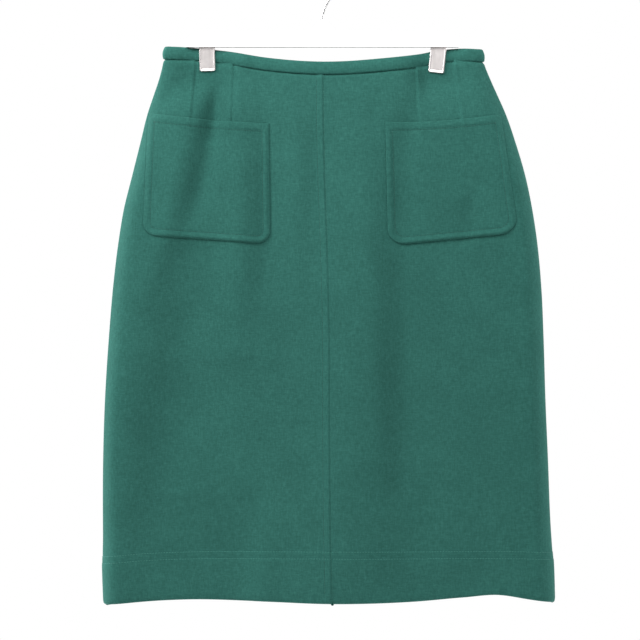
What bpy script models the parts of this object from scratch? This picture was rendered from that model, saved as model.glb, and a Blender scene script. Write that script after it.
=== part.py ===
"""Pencil skirt in thick felted wool, hung by its waistband from a plain hanger with two clips.

Metres, +Z up, the front of the skirt faces -Y. The origin is where the hook bears on a rail.
"""
import math

import bmesh
import bpy
import numpy as np
from mathutils import Matrix

MM = 0.001
GAP = 0.3 * MM                    # clearance between neighbouring pieces

# Hook: a stem, one bend to the right and a round loop over the rail
WIRE_RADIUS = 1.5 * MM
HOOK_INNER_RADIUS = 22 * MM
HOOK_BEND_RADIUS = 34 * MM
HOOK_TIP_ANGLE = math.radians(196)
STEM_LENGTH = 17 * MM

# Hanger: a channel that is open below, with a boss in the middle for the hook
BAR_LENGTH = 306 * MM
BAR_DEPTH = 16 * MM
BAR_BOTTOM = -100 * MM
BAR_END_TOP = -87 * MM
ARCH_RISE = 4 * MM
BOSS_RISE = 13 * MM
BOSS_WIDTH = 9 * MM
CHANNEL_WALL = 2.2 * MM
CHANNEL_HEIGHT = 10.5 * MM
BAR_END_DROP = 5 * MM             # the top rounds down over its last few millimetres
BAR_END_LENGTH = 8 * MM
CUT_PAST = 5 * MM                 # a cutter reaches this far past what it cuts
STEM_HOLE_ABOVE = 20 * MM

# Clips: two steel jaws on a pin through a lug of the hanger
JAW_WIDTH = 17.6 * MM
JAW_THICK = 1.2 * MM
JAW_TOP = 2.6 * MM                # above the pin
JAW_BOTTOM = 33 * MM              # below the pin
JAW_FACE = 3.8 * MM               # inner face of a jaw, from the middle plane
JAW_BEVEL = 0.35 * MM
EAR_HEIGHT = 5.2 * MM
EAR_THICK = 1.0 * MM
EAR_REACH = 1.9 * MM              # past the middle plane
EAR_BELOW_TOP = 0.45 * MM
FRONT_EAR = 8.8 * MM              # outer face of an ear, from the middle of the clip
BACK_EAR = 7.4 * MM
PIN_RADIUS = 1.0 * MM
PIN_HALF_LENGTH = 9.9 * MM
PIN_HEAD_RADIUS = 1.7 * MM
PIN_HEAD_THICK = 0.6 * MM
SPRING_RADIUS = 2.3 * MM
SPRING_LENGTH = 4.6 * MM
LUG_WIDTH = 5.0 * MM
LUG_DEPTH = 5.0 * MM
LUG_RIGHT = 0.5 * MM              # right face, from the middle of the clip; the spring is beside it
LUG_BOTTOM = 2.3 * MM             # below the pin
LUG_INTO_BAR = 1.0 * MM
SPRING_OFFSET = 0.9 * MM


def rows_of(names, rows, plain=()):
    """A table as a list of rows with named columns; lengths are in millimetres, plain columns are not."""
    table = []
    for row in rows:
        named = dict(zip(names.split(), row))
        for name, value in named.items():
            if not isinstance(value, str) and name not in plain:
                named[name] = np.multiply(value, MM)
        table.append(named)
    return table


CLIPS = rows_of("side x pin_z lean_deg", [
    ("left", -130, -94.4, -1.8),
    ("right", 131, -96.2, 6.3),
], plain=("lean_deg",))

# Cloth
CLOTH_THICK = 1.8 * MM
HEM_THICK = 3.6 * MM              # the hem is turned up, so it has two layers
HEM_DEPTH = 50 * MM
EDGE_RADIUS = 5.0 * MM            # outer radius of the fold down each side
BAND_HEIGHT = 14.4 * MM
BAND_SEAM = 0.7 * MM              # the groove under the waistband
BAND_THICK = 3.0 * MM
BAND_PROUD = 0.6 * MM             # the waistband stands out from the panels

# A clip presses front and back together: flat beside and below it, then fading out
PINCH_DEPTH = 2.85 * MM
PINCH_FLAT = 12 * MM
PINCH_INNER_FADE = 22 * MM
PINCH_OUTER_FADE = 30 * MM
PINCH_BOTTOM = -134 * MM
PINCH_DOWN_FADE = 28 * MM
PINCH_EDGE_START = 0.84           # beyond this place across, the side fold keeps its roundness

# Outline: height, left edge and right edge at the fold, and how far front and back belly out
SECTIONS = rows_of("z left right front_belly back_belly", [
    (-100, -177, 179, 6, 7),
    (-119, -179.5, 182, 7, 8),
    (-137, -184, 189, 8.5, 9),
    (-155, -190, 197, 10, 10),
    (-173, -196, 205, 11.5, 11.5),
    (-209, -205, 217.5, 13, 13),
    (-245, -214, 228, 14, 14),
    (-281, -223, 235.5, 14, 14.5),
    (-317, -229, 241, 14, 14.5),
    (-371, -235.5, 246, 14, 14.5),
    (-425, -240, 248.4, 14, 15),
    (-497, -244.5, 250.6, 14, 15),
    (-568, -246.6, 253.6, 14.5, 15.5),
    (-631, -246.8, 256, 15, 16),
    (-685, -246, 259.4, 15.5, 16.5),
    (-730, -244, 260.6, 16, 17),
])

FOLDS_END_POWER = 6               # folds die away near the edges, by this power of the place across
FOLD_FADE_POWER = 0.8             # a fold fades at its ends as a sine to this power

# How square the section is towards each side fold: the higher, the narrower the roll of the cloth
SQUARENESS = rows_of("z left right", [
    (-100, 14, 16),
    (-160, 22, 30),
    (-220, 28, 42),
    (-420, 32, 48),
    (-560, 42, 50),
    (-730, 36, 50),
], plain=("left", "right"))

# Top edge of the waistband and lower edge of the hem, by their place across the skirt (-1 to 1)
EDGES = rows_of("across waist_z front_hem_z back_hem_z", [
    (-1.0, -99.5, -726, -727),
    (-0.88, -100.5, -722.9, -724),
    (-0.64, -104.5, -719.9, -719),
    (-0.38, -112, -721.3, -718),
    (0.0, -116.8, -724.7, -720),
    (0.38, -113, -721.9, -718),
    (0.6, -108.6, -717.4, -716.5),
    (0.76, -103.5, -714.5, -716),
    (0.9, -101.8, -719.5, -719),
    (1.0, -102.5, -723.4, -724),
], plain=("across",))

# Folds: from top to bottom, half width and height (below zero for a trough)
FOLDS = rows_of("panel top_z bottom_z top_x middle_x bottom_x half_width height", [
    ("front", -112, -305, -116, -126, -148, 14, -7.2),
    ("front", -100, -212, -115, -119, -126, 11, -9),
    ("front", -116, -400, -155, -166, -208, 18, 7),
    ("front", -170, -390, -76, -60, -72, 13, -1.6),
    ("front", -122, -180, -156, -170, -188, 10, -6),
    ("front", -115, -400, -27, -28, -34, 17, 3.5),
    ("front", -112, -190, -100, -101, -103, 12, 2.6),
    ("front", -130, -450, -91, -91, -95, 18, 5),
    ("front", -320, -600, -150, -158, -168, 40, -11.5),
    ("front", -440, -800, -194, -193, -190, 32, -5),
    ("front", -450, -820, -122, -118, -110, 68, -13),
    ("front", -240, -640, 50, 58, 64, 15, 2.8),
    ("front", -240, -640, 88, 90, 92, 16, -2.2),
    ("front", -140, -740, 40, 38, 30, 44, 10.5),
    ("front", -114, -330, 124, 92, 100, 18, -4.2),
    ("front", -235, -330, 176, 168, 160, 13, -2.5),
    ("front", -640, -770, -68, -68, -66, 17, 4.5),
    ("front", -680, -790, 146, 146, 146, 28, -3.5),
    ("back", -112, -330, 118, 128, 150, 14, -6),
    ("back", -120, -400, 152, 164, 200, 17, 4),
    ("back", -150, -360, -112, -122, -138, 16, -5),
    ("back", -290, -640, 150, 154, 156, 42, -9),
    ("back", -430, -790, 172, 174, 176, 40, -7),
    ("back", -180, -680, -52, -48, -38, 50, 7),
    ("back", -420, -740, 40, 34, 22, 20, 2.5),
    ("back", -640, -760, 84, 82, 80, 15, -3),
])

# Seams down the middle, by height
SEAMS = rows_of("z front_x back_x", [
    (-100, 1.0, 0.0),
    (-204, 1.9, 0.0),
    (-339, 6.2, 1.0),
    (-407, 7.9, 1.6),
    (-541, 8.5, 2.6),
    (-640, 9.3, 3.4),
    (-730, 11.2, 4.0),
])

# Patch pockets: corners before rounding (x, z), and the sag of the top edge
POCKETS = rows_of("side top_outer top_inner low_inner low_outer top_sag", [
    ("left", (-193, -174), (-60, -186), (-58, -321.5), (-202, -311.5), 2.0),
    ("right", (200.5, -176), (70, -184.5), (73, -323.5), (219.5, -309), 3.0),
])
POCKET_CORNER = 16 * MM
CORNER_ROWS = np.array([1.0, 0.62, 0.3, 0.1, 0.0])   # rows down a rounded corner, as shares of its height
POCKET_THICK = 2.2 * MM
POCKET_LIFT = 1.4 * MM
IN_FRONT = -100 * MM              # a pocket starts flat here and is laid back onto its panel

# Centre-back zip
ZIP_LENGTH = 190 * MM
TAPE_HALF_WIDTH = 12 * MM
TAPE_THICK = 0.8 * MM
TAPE_CLEARANCE = 0.45 * MM
TAPE_STEP_LOW = 19 * MM           # below the top edge the tape steps in, to clear the thicker band
TAPE_STEP_HIGH = 15 * MM
TAPE_HALF_WIDTH_COLUMNS = 2
ZIP_MOUTH_HALF = 4.3 * MM         # the folded edges part here, round the slider
ZIP_MOUTH_TAPER = 22 * MM
ZIP_MOUTH_POWER = 1.5             # above 1, the edges draw together quickly and then slowly
SLIDER_WIDTH = 7.6 * MM
SLIDER_HEIGHT = 11 * MM
SLIDER_THICK = 3.0 * MM
SLIDER_BEVEL = 0.6 * MM
SLIDER_DROP = 7.5 * MM            # its middle, below the top edge
BRIDGE_WIDTH = 1.8 * MM
BRIDGE_HEIGHT = 6.0 * MM
BRIDGE_REACH = 3.6 * MM
BRIDGE_HOLE = 1.2 * MM
BRIDGE_ROOT = 1.0 * MM            # how far the bridge goes into the slider
PULL_BAR = 1.2 * MM
PULL_WINDOW_WIDTH = 3.0 * MM
PULL_WINDOW_HEIGHT = 4.0 * MM
PULL_TOP_WIDTH = 5.4 * MM
PULL_END_WIDTH = 7.0 * MM
PULL_LENGTH = 23 * MM

GREEN_WOOL = ("green wool", (0.033, 0.138, 0.115), 0.95, 0.0)
GREEN_TAPE = ("green tape", (0.02, 0.10, 0.08), 0.8, 0.0)
WHITE_PLASTIC = ("white plastic", (0.88, 0.88, 0.87), 0.4, 0.0)
SATIN_STEEL = ("satin steel", (0.66, 0.63, 0.61), 0.38, 1.0)
WIRE_STEEL = ("wire steel", (0.7, 0.7, 0.7), 0.25, 1.0)

for item in list(bpy.data.objects):
    bpy.data.objects.remove(item, do_unlink=True)


def new_collection(name):
    collection = bpy.data.collections.new(name)
    bpy.context.scene.collection.children.link(collection)
    return collection


SKIRT = new_collection("pencil_skirt")
CUTTERS = new_collection("cutters")


def paint(part, finish):
    """Give a part its own Principled material."""
    name, colour, roughness, metallic = finish
    material = bpy.data.materials.new(f"{part.name} {name}")
    material.use_nodes = True
    shader = material.node_tree.nodes["Principled BSDF"]
    shader.inputs["Base Color"].default_value = (*colour, 1)
    shader.inputs["Roughness"].default_value = roughness
    shader.inputs["Metallic"].default_value = metallic
    part.data.materials.append(material)


def add_part(name, data, finish, parent=None):
    part = bpy.data.objects.new(name, data)
    SKIRT.objects.link(part)
    paint(part, finish)
    part.parent = parent
    return part


def add_cutter(name, data):
    cutter = bpy.data.objects.new(name, data)
    CUTTERS.objects.link(cutter)
    cutter.hide_render = True
    cutter.display_type = "WIRE"
    return cutter


def box_mesh(name, low, high):
    """A box between two corners."""
    shape = bmesh.new()
    bmesh.ops.create_cube(shape, size=1)
    size = [high[k] - low[k] for k in range(3)]
    middle = [(high[k] + low[k]) / 2 for k in range(3)]
    bmesh.ops.scale(shape, vec=size, verts=shape.verts)
    bmesh.ops.translate(shape, vec=middle, verts=shape.verts)
    mesh = bpy.data.meshes.new(name)
    shape.to_mesh(mesh)
    shape.free()
    return mesh


def rod_mesh(name, radius, length, middle=(0, 0, 0), sides=24):
    """A cylinder along X."""
    shape = bmesh.new()
    bmesh.ops.create_cone(shape, cap_ends=True, segments=sides, radius1=radius, radius2=radius, depth=length)
    bmesh.ops.rotate(shape, matrix=Matrix.Rotation(math.pi / 2, 3, "Y"), verts=shape.verts)
    bmesh.ops.translate(shape, vec=middle, verts=shape.verts)
    mesh = bpy.data.meshes.new(name)
    shape.to_mesh(mesh)
    shape.free()
    return mesh


def boolean(part, tool, operation):
    change = part.modifiers.new(f"{operation} {tool.name}", "BOOLEAN")
    change.operation = operation
    change.object = tool


def bevel(part, width, segments=2):
    change = part.modifiers.new("rounded edges", "BEVEL")
    change.width = width
    change.segments = segments


def read(table, column, at):
    """Read one column of a table at any place in its first column, on a smooth curve through its rows."""
    first = next(iter(table[0]))
    places = np.array([row[first] for row in table])
    values = np.array([row[column] for row in table])
    order = np.argsort(places)
    places, values = places[order], values[order]
    slopes = np.gradient(values, places)
    at = np.clip(at, places[0], places[-1])
    k = np.clip(np.searchsorted(places, at) - 1, 0, len(places) - 2)
    step = places[k + 1] - places[k]
    t = (at - places[k]) / step
    return (values[k] * (1 + 2 * t) * (1 - t) ** 2 + slopes[k] * step * t * (1 - t) ** 2
            + values[k + 1] * t * t * (3 - 2 * t) + slopes[k + 1] * step * t * t * (t - 1))


def pinch(x, z):
    """1 where a clip holds front and back together, falling to 0 away from it."""
    held = np.zeros_like(x * z)
    below = np.maximum(PINCH_BOTTOM - z, 0) / PINCH_DOWN_FADE
    for clip in CLIPS:
        away = (x - clip["x"]) * np.sign(clip["x"])
        beside = np.maximum(np.abs(away) - PINCH_FLAT, 0) / np.where(away > 0, PINCH_OUTER_FADE, PINCH_INNER_FADE)
        held = np.maximum(held, np.exp(-beside ** 2 - below ** 2))
    return held


def fold_height(panel, x, z):
    """Sum of the folds: each is a bell across its path, and fades out at both ends."""
    height = np.zeros_like(x * z)
    for fold in FOLDS:
        if fold["panel"] != panel:
            continue
        along = np.clip((fold["top_z"] - z) / (fold["top_z"] - fold["bottom_z"]), 0, 1)
        path = (fold["top_x"] * (1 - along) * (1 - 2 * along) + 4 * fold["middle_x"] * along * (1 - along)
                + fold["bottom_x"] * along * (2 * along - 1))
        fade = np.sin(math.pi * along) ** FOLD_FADE_POWER
        height = height + fold["height"] * fade * np.exp(-((x - path) / fold["half_width"]) ** 2)
    return height


def squareness(across, z):
    return np.where(across < 0, read(SQUARENESS, "left", z), read(SQUARENESS, "right", z))


def lens_turn(panel, across, z, reach):
    """How far the section has turned away from straight ahead, before the side fold takes over."""
    power = squareness(across, z)
    slope = read(SECTIONS, f"{panel}_belly", z) * power * np.abs(across) ** (power - 1) / reach
    return np.arctan(slope)


def half_depth(panel, across, x, z):
    """Distance of the outer face of a panel from the middle plane."""
    lens = read(SECTIONS, f"{panel}_belly", z) * (1 - np.abs(across) ** squareness(across, z))
    side_fade = 1 - np.abs(across) ** FOLDS_END_POWER
    open_depth = EDGE_RADIUS + lens + fold_height(panel, x, z) * side_fade
    open_depth = np.maximum(open_depth, CLOTH_THICK + GAP)
    held = pinch(x, z)
    at_edge = np.clip((np.abs(across) - PINCH_EDGE_START) / (1 - PINCH_EDGE_START), 0, 1) ** 2
    clipped = PINCH_DEPTH * (1 - at_edge) + EDGE_RADIUS * at_edge
    return open_depth * (1 - held) + clipped * held


def cloth_points(panel, across, turn, z, out=0.0):
    """Points of the outer face. across runs from edge to edge; turn, from 0 to 1, goes on round the side fold."""
    left = read(SECTIONS, "left", z)
    right = read(SECTIONS, "right", z)
    middle = (left + right) / 2
    reach = (right - left) / 2 - EDGE_RADIUS
    core_x = middle + across * reach
    angle = lens_turn(panel, across, z, reach) * (1 - pinch(core_x, z))
    angle = angle + (SEAM_ANGLE - angle) * turn
    x = core_x + np.sign(across) * (EDGE_RADIUS + out) * np.sin(angle)
    depth = half_depth(panel, across, core_x, z) - EDGE_RADIUS + (EDGE_RADIUS + out) * np.cos(angle)
    y = -depth if panel == "front" else depth
    return np.stack([x, y, z], axis=-1)


def place_across(x, z):
    """The fraction across the skirt at which a point of the section lies."""
    left = read(SECTIONS, "left", z)
    right = read(SECTIONS, "right", z)
    return (x - (left + right) / 2) / ((right - left) / 2 - EDGE_RADIUS)


def seam_across(panel, z, offset):
    """The place of a centre seam, as a fraction across the skirt."""
    return place_across(read(SEAMS, f"{panel}_x", z) + offset, z)


def zip_opening(z, top):
    """Half the space between the back edges: wide round the slider, closed below it."""
    below = np.clip((top - BAND_HEIGHT - z) / ZIP_MOUTH_TAPER, 0, 1)
    return ZIP_MOUTH_HALF * (1 - below) ** ZIP_MOUTH_POWER + GAP / 2


SEAM_ANGLE = math.radians(86)     # the side seam, short of square to the front by half its gap
EDGE_TURNS = np.array([1, 0.985, 0.8, 0.57, 0.3])   # shares of the side fold, from the side seam inwards
SEAM_COLUMNS_THIN = 2             # the turned-up layer stops this many columns short of the side seam
COLUMN_GRADING = 1.4              # above 1, columns are closer together near the side fold


def piece_columns(panel, side, z_at, columns):
    """across and turn for each column of a piece on one side of the middle, or for the whole width."""
    arc = EDGE_TURNS[:, None]
    if side == "whole":
        inner = np.linspace(-1, 1, columns)
        inner = (np.sign(inner) * (1 - (1 - np.abs(inner)) ** COLUMN_GRADING))[:, None] + 0 * z_at
        across = np.concatenate([-1 + 0 * arc * z_at, inner, 1 + 0 * arc * z_at])
        turn = np.concatenate([arc + 0 * z_at, 0 * inner, arc[::-1] + 0 * z_at])
        return across, turn
    sign = -1 if side == "left" else 1
    space = zip_opening(z_at, read(EDGES, "waist_z", 0.0)) if panel == "back" else GAP / 2
    end = seam_across(panel, z_at, sign * space)
    inner = sign + (end - sign) * np.linspace(0, 1, columns)[:, None] ** COLUMN_GRADING
    across = np.concatenate([sign + 0 * arc * z_at, inner])
    turn = np.concatenate([arc + 0 * z_at, 0 * inner])
    return across, turn


def grid_mesh(name, points, flip):
    """A mesh of quads on an array of points (columns, rows)."""
    columns, rows = points.shape[:2]
    index = np.arange(columns * rows).reshape(columns, rows)
    quads = np.stack([index[:-1, :-1], index[:-1, 1:], index[1:, 1:], index[1:, :-1]], axis=-1).reshape(-1, 4)
    if flip:
        quads = quads[:, ::-1]
    mesh = bpy.data.meshes.new(name)
    mesh.from_pydata(points.reshape(-1, 3).tolist(), [], quads.tolist())
    return mesh


def thicken(part, thickness, inwards=True, group=None, factor=1.0):
    wall = part.modifiers.new("wall", "SOLIDIFY")
    wall.thickness = thickness
    wall.offset = -1 if inwards else 1
    wall.use_even_offset = True
    if group:
        wall.vertex_group = group
        wall.thickness_vertex_group = factor


def row_heights(across, panel, from_band, rows):
    """Heights of the rows of a panel, from the waist seam to the hem, at one place across."""
    waist = read(EDGES, "waist_z", across) - from_band
    hem = read(EDGES, f"{panel}_hem_z", across)
    return waist + (hem - waist) * rows


PANEL_LENGTH = 603 * MM
HEM_START = 1 - HEM_DEPTH / PANEL_LENGTH
PANEL_ROWS = np.concatenate([[0, 0.03, 0.06], np.linspace(0.1, 0.4, 6), np.linspace(0.47, 0.85, 6),
                             [HEM_START - 0.008, HEM_START, (1 + HEM_START) / 2, 1.0]])
PANEL_COLUMNS = 16
MIDDLE_HEIGHT = -400 * MM         # a first guess of the heights, before the seams are worked out
HEIGHT_PASSES = 3
BAND_ROWS = 3
BAND_COLUMNS = {"whole": 27, "left": 14, "right": 14}
POCKET_COLUMNS = 17
POCKET_ROWS = 15                  # down to where the lower corners begin


def piece_points(panel, side, rows, drop, columns, out=0.0):
    """Points of a panel or band: the place across sets the heights, and the heights set the outline."""
    guess = np.full(len(rows), MIDDLE_HEIGHT)
    across, turn = piece_columns(panel, side, guess[None, :], columns)
    for _ in range(HEIGHT_PASSES):
        seam_heights = row_heights(across, panel, drop, rows[None, :])[-1]
        across, turn = piece_columns(panel, side, seam_heights[None, :], columns)
    return cloth_points(panel, across, turn, row_heights(across, panel, drop, rows[None, :]), out)


def flip_for(panel, side):
    """Whether a grid's faces have to be turned to point out of the skirt."""
    return (panel == "front") == (side == "right")


def build_panels():
    """Two fronts and two backs: one layer of cloth, two in the hem."""
    for panel in ("front", "back"):
        for side in ("left", "right"):
            name = f"{panel}_{side}"
            points = piece_points(panel, side, PANEL_ROWS, BAND_HEIGHT + BAND_SEAM, PANEL_COLUMNS)
            part = add_part(name, grid_mesh(name, points, flip_for(panel, side)), GREEN_WOOL)
            rows = len(PANEL_ROWS)
            turned_up = [k for k in range(points.shape[0] * rows)
                         if PANEL_ROWS[k % rows] >= HEM_START and k // rows >= SEAM_COLUMNS_THIN]
            part.vertex_groups.new(name="turned_up").add(turned_up, 1.0, "REPLACE")
            thicken(part, HEM_THICK, group="turned_up", factor=CLOTH_THICK / HEM_THICK)


def build_waistband():
    """A front strip and two back strips along the top of the panels, a little proud of them."""
    rows = np.linspace(0, BAND_HEIGHT / (PANEL_LENGTH + BAND_HEIGHT), BAND_ROWS)
    for name, panel, side in (("waistband_front", "front", "whole"),
                              ("waistband_back_left", "back", "left"),
                              ("waistband_back_right", "back", "right")):
        points = piece_points(panel, side, rows, 0.0, BAND_COLUMNS[side], BAND_PROUD)
        part = add_part(name, grid_mesh(name, points, flip_for(panel, side)), GREEN_WOOL)
        thicken(part, BAND_THICK)


def pocket_points(pocket):
    """A four-sided patch whose lower corners are rounded: rows close in towards the bottom."""
    top_outer, top_inner = pocket["top_outer"], pocket["top_inner"]
    low_inner, low_outer = pocket["low_inner"], pocket["low_outer"]
    height = np.linalg.norm(top_inner - low_inner)
    width = np.linalg.norm(top_inner - top_outer)
    near_bottom = POCKET_CORNER * CORNER_ROWS
    straight = np.linspace(0, 1 - POCKET_CORNER / height, POCKET_ROWS)[:-1]
    down = np.concatenate([straight, 1 - near_bottom / height])
    from_bottom = (1 - down) * height
    rise = np.maximum(POCKET_CORNER - from_bottom, 0)
    inset = (POCKET_CORNER - np.sqrt(POCKET_CORNER ** 2 - rise ** 2)) / width
    u = inset[:, None] + (1 - 2 * inset[:, None]) * np.linspace(0, 1, POCKET_COLUMNS)[None, :]
    v = down[:, None]
    flat = (top_outer * ((1 - u) * (1 - v))[..., None] + top_inner * (u * (1 - v))[..., None]
            + low_inner * (u * v)[..., None] + low_outer * ((1 - u) * v)[..., None])
    flat[..., 1] -= pocket["top_sag"] * 4 * u * (1 - u) * (1 - v) ** 2
    return np.stack([flat[..., 0], np.full(flat.shape[:2], IN_FRONT), flat[..., 1]], axis=-1)


def build_pockets():
    """Each pocket is laid on its panel from the front and given its thickness outwards."""
    for pocket in POCKETS:
        side = pocket["side"]
        name = f"pocket_{side}"
        part = add_part(name, grid_mesh(name, pocket_points(pocket), side == "left"), GREEN_WOOL)
        lay = part.modifiers.new("laid on the panel", "SHRINKWRAP")
        lay.target = bpy.data.objects[f"front_{side}"]
        lay.wrap_method = "PROJECT"
        lay.wrap_mode = "ABOVE_SURFACE"
        lay.use_project_y = True
        lay.use_negative_direction = False
        lay.use_positive_direction = True
        lay.offset = POCKET_LIFT
        thicken(part, POCKET_THICK, inwards=False)


def hook_path():
    """Stem, bend and loop as one run of points, tip last."""
    loop_radius = HOOK_INNER_RADIUS + WIRE_RADIUS
    loop_z = -HOOK_INNER_RADIUS
    reach = loop_radius + HOOK_BEND_RADIUS
    bend_z = loop_z - math.sqrt(reach ** 2 - HOOK_BEND_RADIUS ** 2)
    meet = math.atan2(bend_z - loop_z, HOOK_BEND_RADIUS)
    points = [(0, 0, bend_z - STEM_LENGTH), (0, 0, bend_z - STEM_LENGTH / 2)]
    for angle in np.linspace(math.pi, math.pi + meet, 8):
        points.append((HOOK_BEND_RADIUS * (1 + math.cos(angle)), 0, bend_z + HOOK_BEND_RADIUS * math.sin(angle)))
    for angle in np.linspace(meet, HOOK_TIP_ANGLE, 30)[1:]:
        points.append((loop_radius * math.cos(angle), 0, loop_z + loop_radius * math.sin(angle)))
    return points, bend_z


def build_hook():
    points, _ = hook_path()
    curve = bpy.data.curves.new("hook", "CURVE")
    curve.dimensions = "3D"
    curve.bevel_depth = WIRE_RADIUS
    curve.bevel_resolution = 2
    curve.use_fill_caps = True
    wire = curve.splines.new("POLY")
    wire.points.add(len(points) - 1)
    for point, place in zip(wire.points, points):
        point.co = (*place, 1)
    add_part("hook", curve, WIRE_STEEL)


def hanger_outline():
    """Front view of the hanger: straight below, a shallow arch above with the boss in the middle."""
    half = BAR_LENGTH / 2
    top = []
    for x in np.linspace(-half, half, 49):
        arch = ARCH_RISE * (1 - (x / half) ** 2)
        boss = BOSS_RISE * math.exp(-(abs(x) / BOSS_WIDTH) ** 3)
        end = BAR_END_DROP * max(0, (abs(x) - half + BAR_END_LENGTH) / BAR_END_LENGTH) ** 3
        top.append((x, BAR_END_TOP + arch + boss - end))
    return [(half, BAR_BOTTOM), *reversed(top), (-half, BAR_BOTTOM)]


def build_hanger(lugs):
    """A white channel with a lug for each clip and a hole for the hook's stem."""
    outline = hanger_outline()
    shape = bmesh.new()
    for side in (-1, 1):
        face = shape.faces.new([shape.verts.new((x, side * BAR_DEPTH / 2, z)) for x, z in outline])
        if side > 0:
            face.normal_flip()
    count = len(outline)
    shape.verts.ensure_lookup_table()
    for k in range(count):
        after = (k + 1) % count
        shape.faces.new([shape.verts[k], shape.verts[after], shape.verts[count + after], shape.verts[count + k]])
    bmesh.ops.recalc_face_normals(shape, faces=shape.faces)
    mesh = bpy.data.meshes.new("hanger_bar")
    shape.to_mesh(mesh)
    shape.free()
    bar = add_part("hanger_bar", mesh, WHITE_PLASTIC)
    inner_x = BAR_LENGTH / 2 - CHANNEL_WALL
    inner_y = BAR_DEPTH / 2 - CHANNEL_WALL
    channel = add_cutter("channel", box_mesh("channel", (-inner_x, -inner_y, BAR_BOTTOM - CUT_PAST),
                                             (inner_x, inner_y, BAR_BOTTOM + CHANNEL_HEIGHT)))
    boolean(bar, channel, "DIFFERENCE")
    for lug, hole in lugs:
        boolean(bar, lug, "UNION")
        boolean(bar, hole, "DIFFERENCE")
    _, bend_z = hook_path()
    depth = STEM_LENGTH + STEM_HOLE_ABOVE
    stem = rod_mesh("stem_hole", WIRE_RADIUS + GAP, depth)
    stem.transform(Matrix.Translation((0, 0, bend_z - STEM_LENGTH - GAP + depth / 2))
                   @ Matrix.Rotation(math.pi / 2, 4, "Y"))
    boolean(bar, add_cutter("stem_hole", stem), "DIFFERENCE")


def turned_along_x(part):
    """Spin a profile that was drawn beside the Z axis, then lay the part along X."""
    screw = part.modifiers.new("turned", "SCREW")
    screw.steps = 20
    screw.render_steps = 20
    screw.use_merge_vertices = True
    screw.merge_threshold = 0.00001
    part.rotation_euler = (0, math.pi / 2, 0)


def profile_mesh(name, corners):
    mesh = bpy.data.meshes.new(name)
    mesh.from_pydata([(r, 0, h) for r, h in corners], [(k, k + 1) for k in range(len(corners) - 1)], [])
    return mesh


def build_jaw(name, facing, ear_x, pivot):
    """A flat steel jaw with two ears that the pin goes through."""
    near, far = facing * JAW_FACE, facing * (JAW_FACE + JAW_THICK)
    low, high = min(near, far), max(near, far)
    half = JAW_WIDTH / 2
    jaw = add_part(name, box_mesh(name, (-half, low, -JAW_BOTTOM), (half, high, JAW_TOP)), SATIN_STEEL, pivot)
    bevel(jaw, JAW_BEVEL)
    for side in (-1, 1):
        edges = sorted((side * ear_x, side * (ear_x - EAR_THICK)))
        reach = sorted((facing * (JAW_FACE + JAW_THICK / 2), -facing * EAR_REACH))
        ear = add_cutter(f"{name}_ear_{side}", box_mesh("ear", (edges[0], reach[0], -EAR_HEIGHT / 2),
                                                        (edges[1], reach[1], JAW_TOP - EAR_BELOW_TOP)))
        ear.parent = pivot
        boolean(jaw, ear, "UNION")
    hole = add_cutter(f"{name}_hole", rod_mesh("hole", PIN_RADIUS + GAP, JAW_WIDTH + 2 * CUT_PAST))
    hole.parent = pivot
    boolean(jaw, hole, "DIFFERENCE")


def build_clip(clip):
    """Two jaws, a pin and a spring, all square to the clip, which leans as a whole."""
    side = clip["side"]
    pivot = bpy.data.objects.new(f"clip_{side}_pivot", None)
    SKIRT.objects.link(pivot)
    pivot.location = (clip["x"], 0, clip["pin_z"])
    pivot.rotation_euler = (0, math.radians(clip["lean_deg"]), 0)
    build_jaw(f"clip_{side}_front", -1, FRONT_EAR, pivot)
    build_jaw(f"clip_{side}_back", 1, BACK_EAR, pivot)
    head = PIN_HALF_LENGTH + PIN_HEAD_THICK
    pin = add_part(f"clip_{side}_pin", profile_mesh("pin", [
        (0, head), (PIN_HEAD_RADIUS, head), (PIN_HEAD_RADIUS, PIN_HALF_LENGTH), (PIN_RADIUS, PIN_HALF_LENGTH),
        (PIN_RADIUS, -PIN_HALF_LENGTH), (PIN_HEAD_RADIUS, -PIN_HALF_LENGTH), (PIN_HEAD_RADIUS, -head),
        (0, -head)]), SATIN_STEEL, pivot)
    turned_along_x(pin)
    inner = PIN_RADIUS + GAP
    spring = add_part(f"clip_{side}_spring", profile_mesh("spring", [
        (inner, 0), (inner, SPRING_LENGTH), (SPRING_RADIUS, SPRING_LENGTH), (SPRING_RADIUS, 0), (inner, 0)]),
        SATIN_STEEL, pivot)
    turned_along_x(spring)
    spring.location = (SPRING_OFFSET, 0, 0)
    lug_top = BAR_BOTTOM + CHANNEL_HEIGHT + LUG_INTO_BAR - clip["pin_z"]
    lug = add_cutter(f"lug_{side}", box_mesh("lug", (LUG_RIGHT - LUG_WIDTH, -LUG_DEPTH / 2, -LUG_BOTTOM),
                                             (LUG_RIGHT, LUG_DEPTH / 2, lug_top)))
    lug.parent = pivot
    hole = add_cutter(f"lug_hole_{side}", rod_mesh("lug_hole", PIN_RADIUS + GAP, LUG_WIDTH + 2 * CUT_PAST))
    hole.parent = pivot
    return lug, hole


def slider_place():
    """Middle of the slider: its height, and the outer face of its body."""
    z = float(read(EDGES, "waist_z", 0.0)) - SLIDER_DROP
    depth = float(half_depth("back", np.array(0.0), np.array(0.0), np.array(z)))
    return z, depth + BAND_PROUD


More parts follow.
